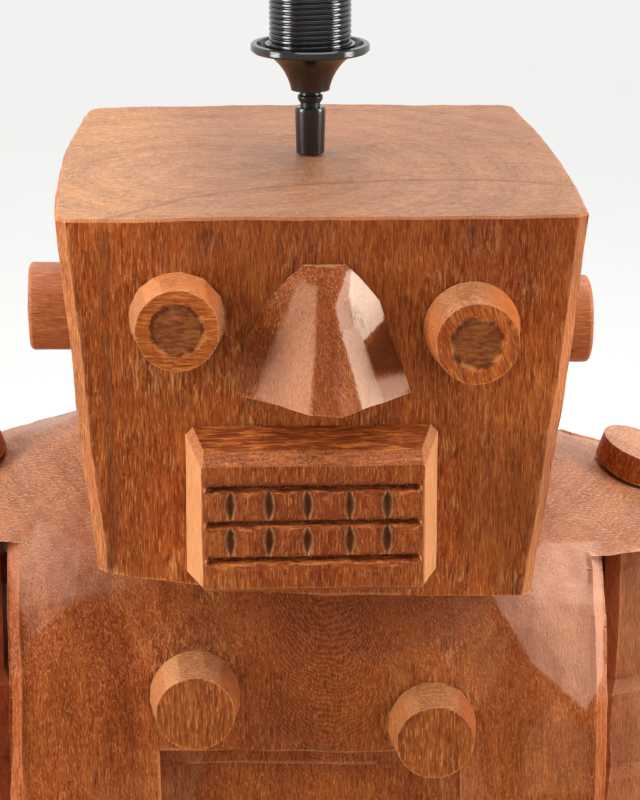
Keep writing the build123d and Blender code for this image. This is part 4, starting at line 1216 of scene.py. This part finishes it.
# %% Screw the thread
THREAD_PITCH, THREAD_DEPTH = 0.0025, 0.0011
crest, mantle_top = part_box("holder_mantle")[1].x, solid_high.z  # nothing stands higher
thread_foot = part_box("shade_ring")[0].z - 0.0002
root = crest - THREAD_DEPTH
slope = 0.5 * (root + crest)
shoulder = crest - 0.12 * THREAD_DEPTH
one_turn = (  # radius, and height as a share of the pitch
    (root, 0.0), (root, 0.05), (slope, 0.14), (shoulder, 0.22), (crest, 0.30),
    (crest, 0.70), (shoulder, 0.78), (slope, 0.86), (root, 0.95), (root, 1.0),
)
turns = math.ceil((mantle_top - thread_foot) / THREAD_PITCH) + 2
mantle = outline("threaded_mantle", [(r, share * THREAD_PITCH) for r, share in one_turn])
select_mesh()
bpy.ops.transform.translate(value=(0, 0, thread_foot - 1.5 * THREAD_PITCH))
switch("OBJECT")
helix = {"screw_offset": THREAD_PITCH, "iterations": turns, "steps": 72, "render_steps": 72}
merged = {"use_merge_vertices": True, "merge_threshold": MERGE}
modify(mantle, "screw", "SCREW", **helix, **merged)

switch("EDIT")
select_mesh()
bpy.ops.mesh.remove_doubles(threshold=SEAM_MERGE)
for height, lower in ((mantle_top, False), (thread_foot, True)):
    select_mesh()
    level = {"plane_co": (0, 0, height), "plane_no": (0, 0, 1), "threshold": MERGE}
    bpy.ops.mesh.bisect(**level, clear_inner=lower, clear_outer=not lower)
print("thread:", turns, "turns of", 1000 * THREAD_PITCH, "mm")


# %% Hollow the mantle and close its foot
def select_rim(piece, height):
    """Selects the open rim at a height."""
    bpy.ops.mesh.select_mode(type="VERT")
    select_mesh("DESELECT")
    switch("OBJECT")
    for vertex in piece.data.vertices:
        vertex.select = abs(vertex.co.z - height) < MERGE
    switch("EDIT")


def draw_rim(piece, steps):
    """Extrudes the selected rim: each step is the next ring's radius and height."""
    for radius, height in steps:
        bpy.ops.mesh.extrude_edges_move(TRANSFORM_OT_translate={"value": (0, 0, 0)})
        switch("OBJECT")
        for vertex in piece.data.vertices:
            if vertex.select:
                factor = radius / math.hypot(vertex.co.x, vertex.co.y)
                vertex.co = (factor * vertex.co.x, factor * vertex.co.y, height)
        switch("EDIT")


LIP_RADIUS, BORE_RADIUS, LIP_HEIGHT = 0.0155, 0.0176, 0.003
lip_foot, core_foot = mantle_top - LIP_HEIGHT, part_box("insulator_core")[0].z
select_rim(mantle, mantle_top)
lip = ((LIP_RADIUS, mantle_top), (LIP_RADIUS, lip_foot), (BORE_RADIUS, lip_foot))
draw_rim(mantle, (*lip, (BORE_RADIUS, core_foot)))
select_mesh("DESELECT")
bpy.ops.mesh.select_non_manifold()
bpy.ops.mesh.bridge_edge_loops()
close_up()
finish_piece(mantle, holder_black, "holder_mantle")

# %% [markdown]
# ## The bead
#
# The bead between the sleeve and the cap is turned on a lathe, with two bellies, a groove between
# them and a long taper under the lower one. Its outline is spun round the lamp's axis, and its
# bore lets the lamp tube through.

# %% Turn the bead
bead_low, bead_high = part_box("stem_bead")
belly, bead_rise = bead_high.x, bead_high.z - bead_low.z
BEAD_BORE = 0.00495
bead_outline = (
    (BEAD_BORE, 0.0), (0.0053, 0.0), (0.0056, 0.10), (0.0060, 0.34), (belly, 0.42), (belly, 0.50),
    (0.0059, 0.54), (0.0059, 0.58), (belly, 0.62), (belly, 0.70), (0.0057, 0.82), (0.0052, 0.90),
    (0.0051, 1.0), (BEAD_BORE, 1.0),
)
bead = turned("turned_bead", [(r, bead_low.z + share * bead_rise) for r, share in bead_outline])
finish_piece(bead, stem_black, "stem_bead")

# %% [markdown]
# ## The contact's spring
#
# The centre contact sits on a short coil spring in the insulator. Pressing the contact shortens
# the spring, and its foot stays on the ceramic. The spring gets a copy of its own, with its own
# mesh, on the figure.

# %% Copy the spring as a piece of its own
spring = start_copy("contact_spring", "coiled_spring")
switch("OBJECT")
finish_piece(spring, zinc_steel, "contact_spring", angle=50)
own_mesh(spring)

# %% Measure how far the visual model stands out of the solid's box
visual_low, visual_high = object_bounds()
outgrowth = [round(1000 * (a - b), 2) for a, b in zip(visual_high, solid_high)]
print("largest outgrowth in mm:", outgrowth)
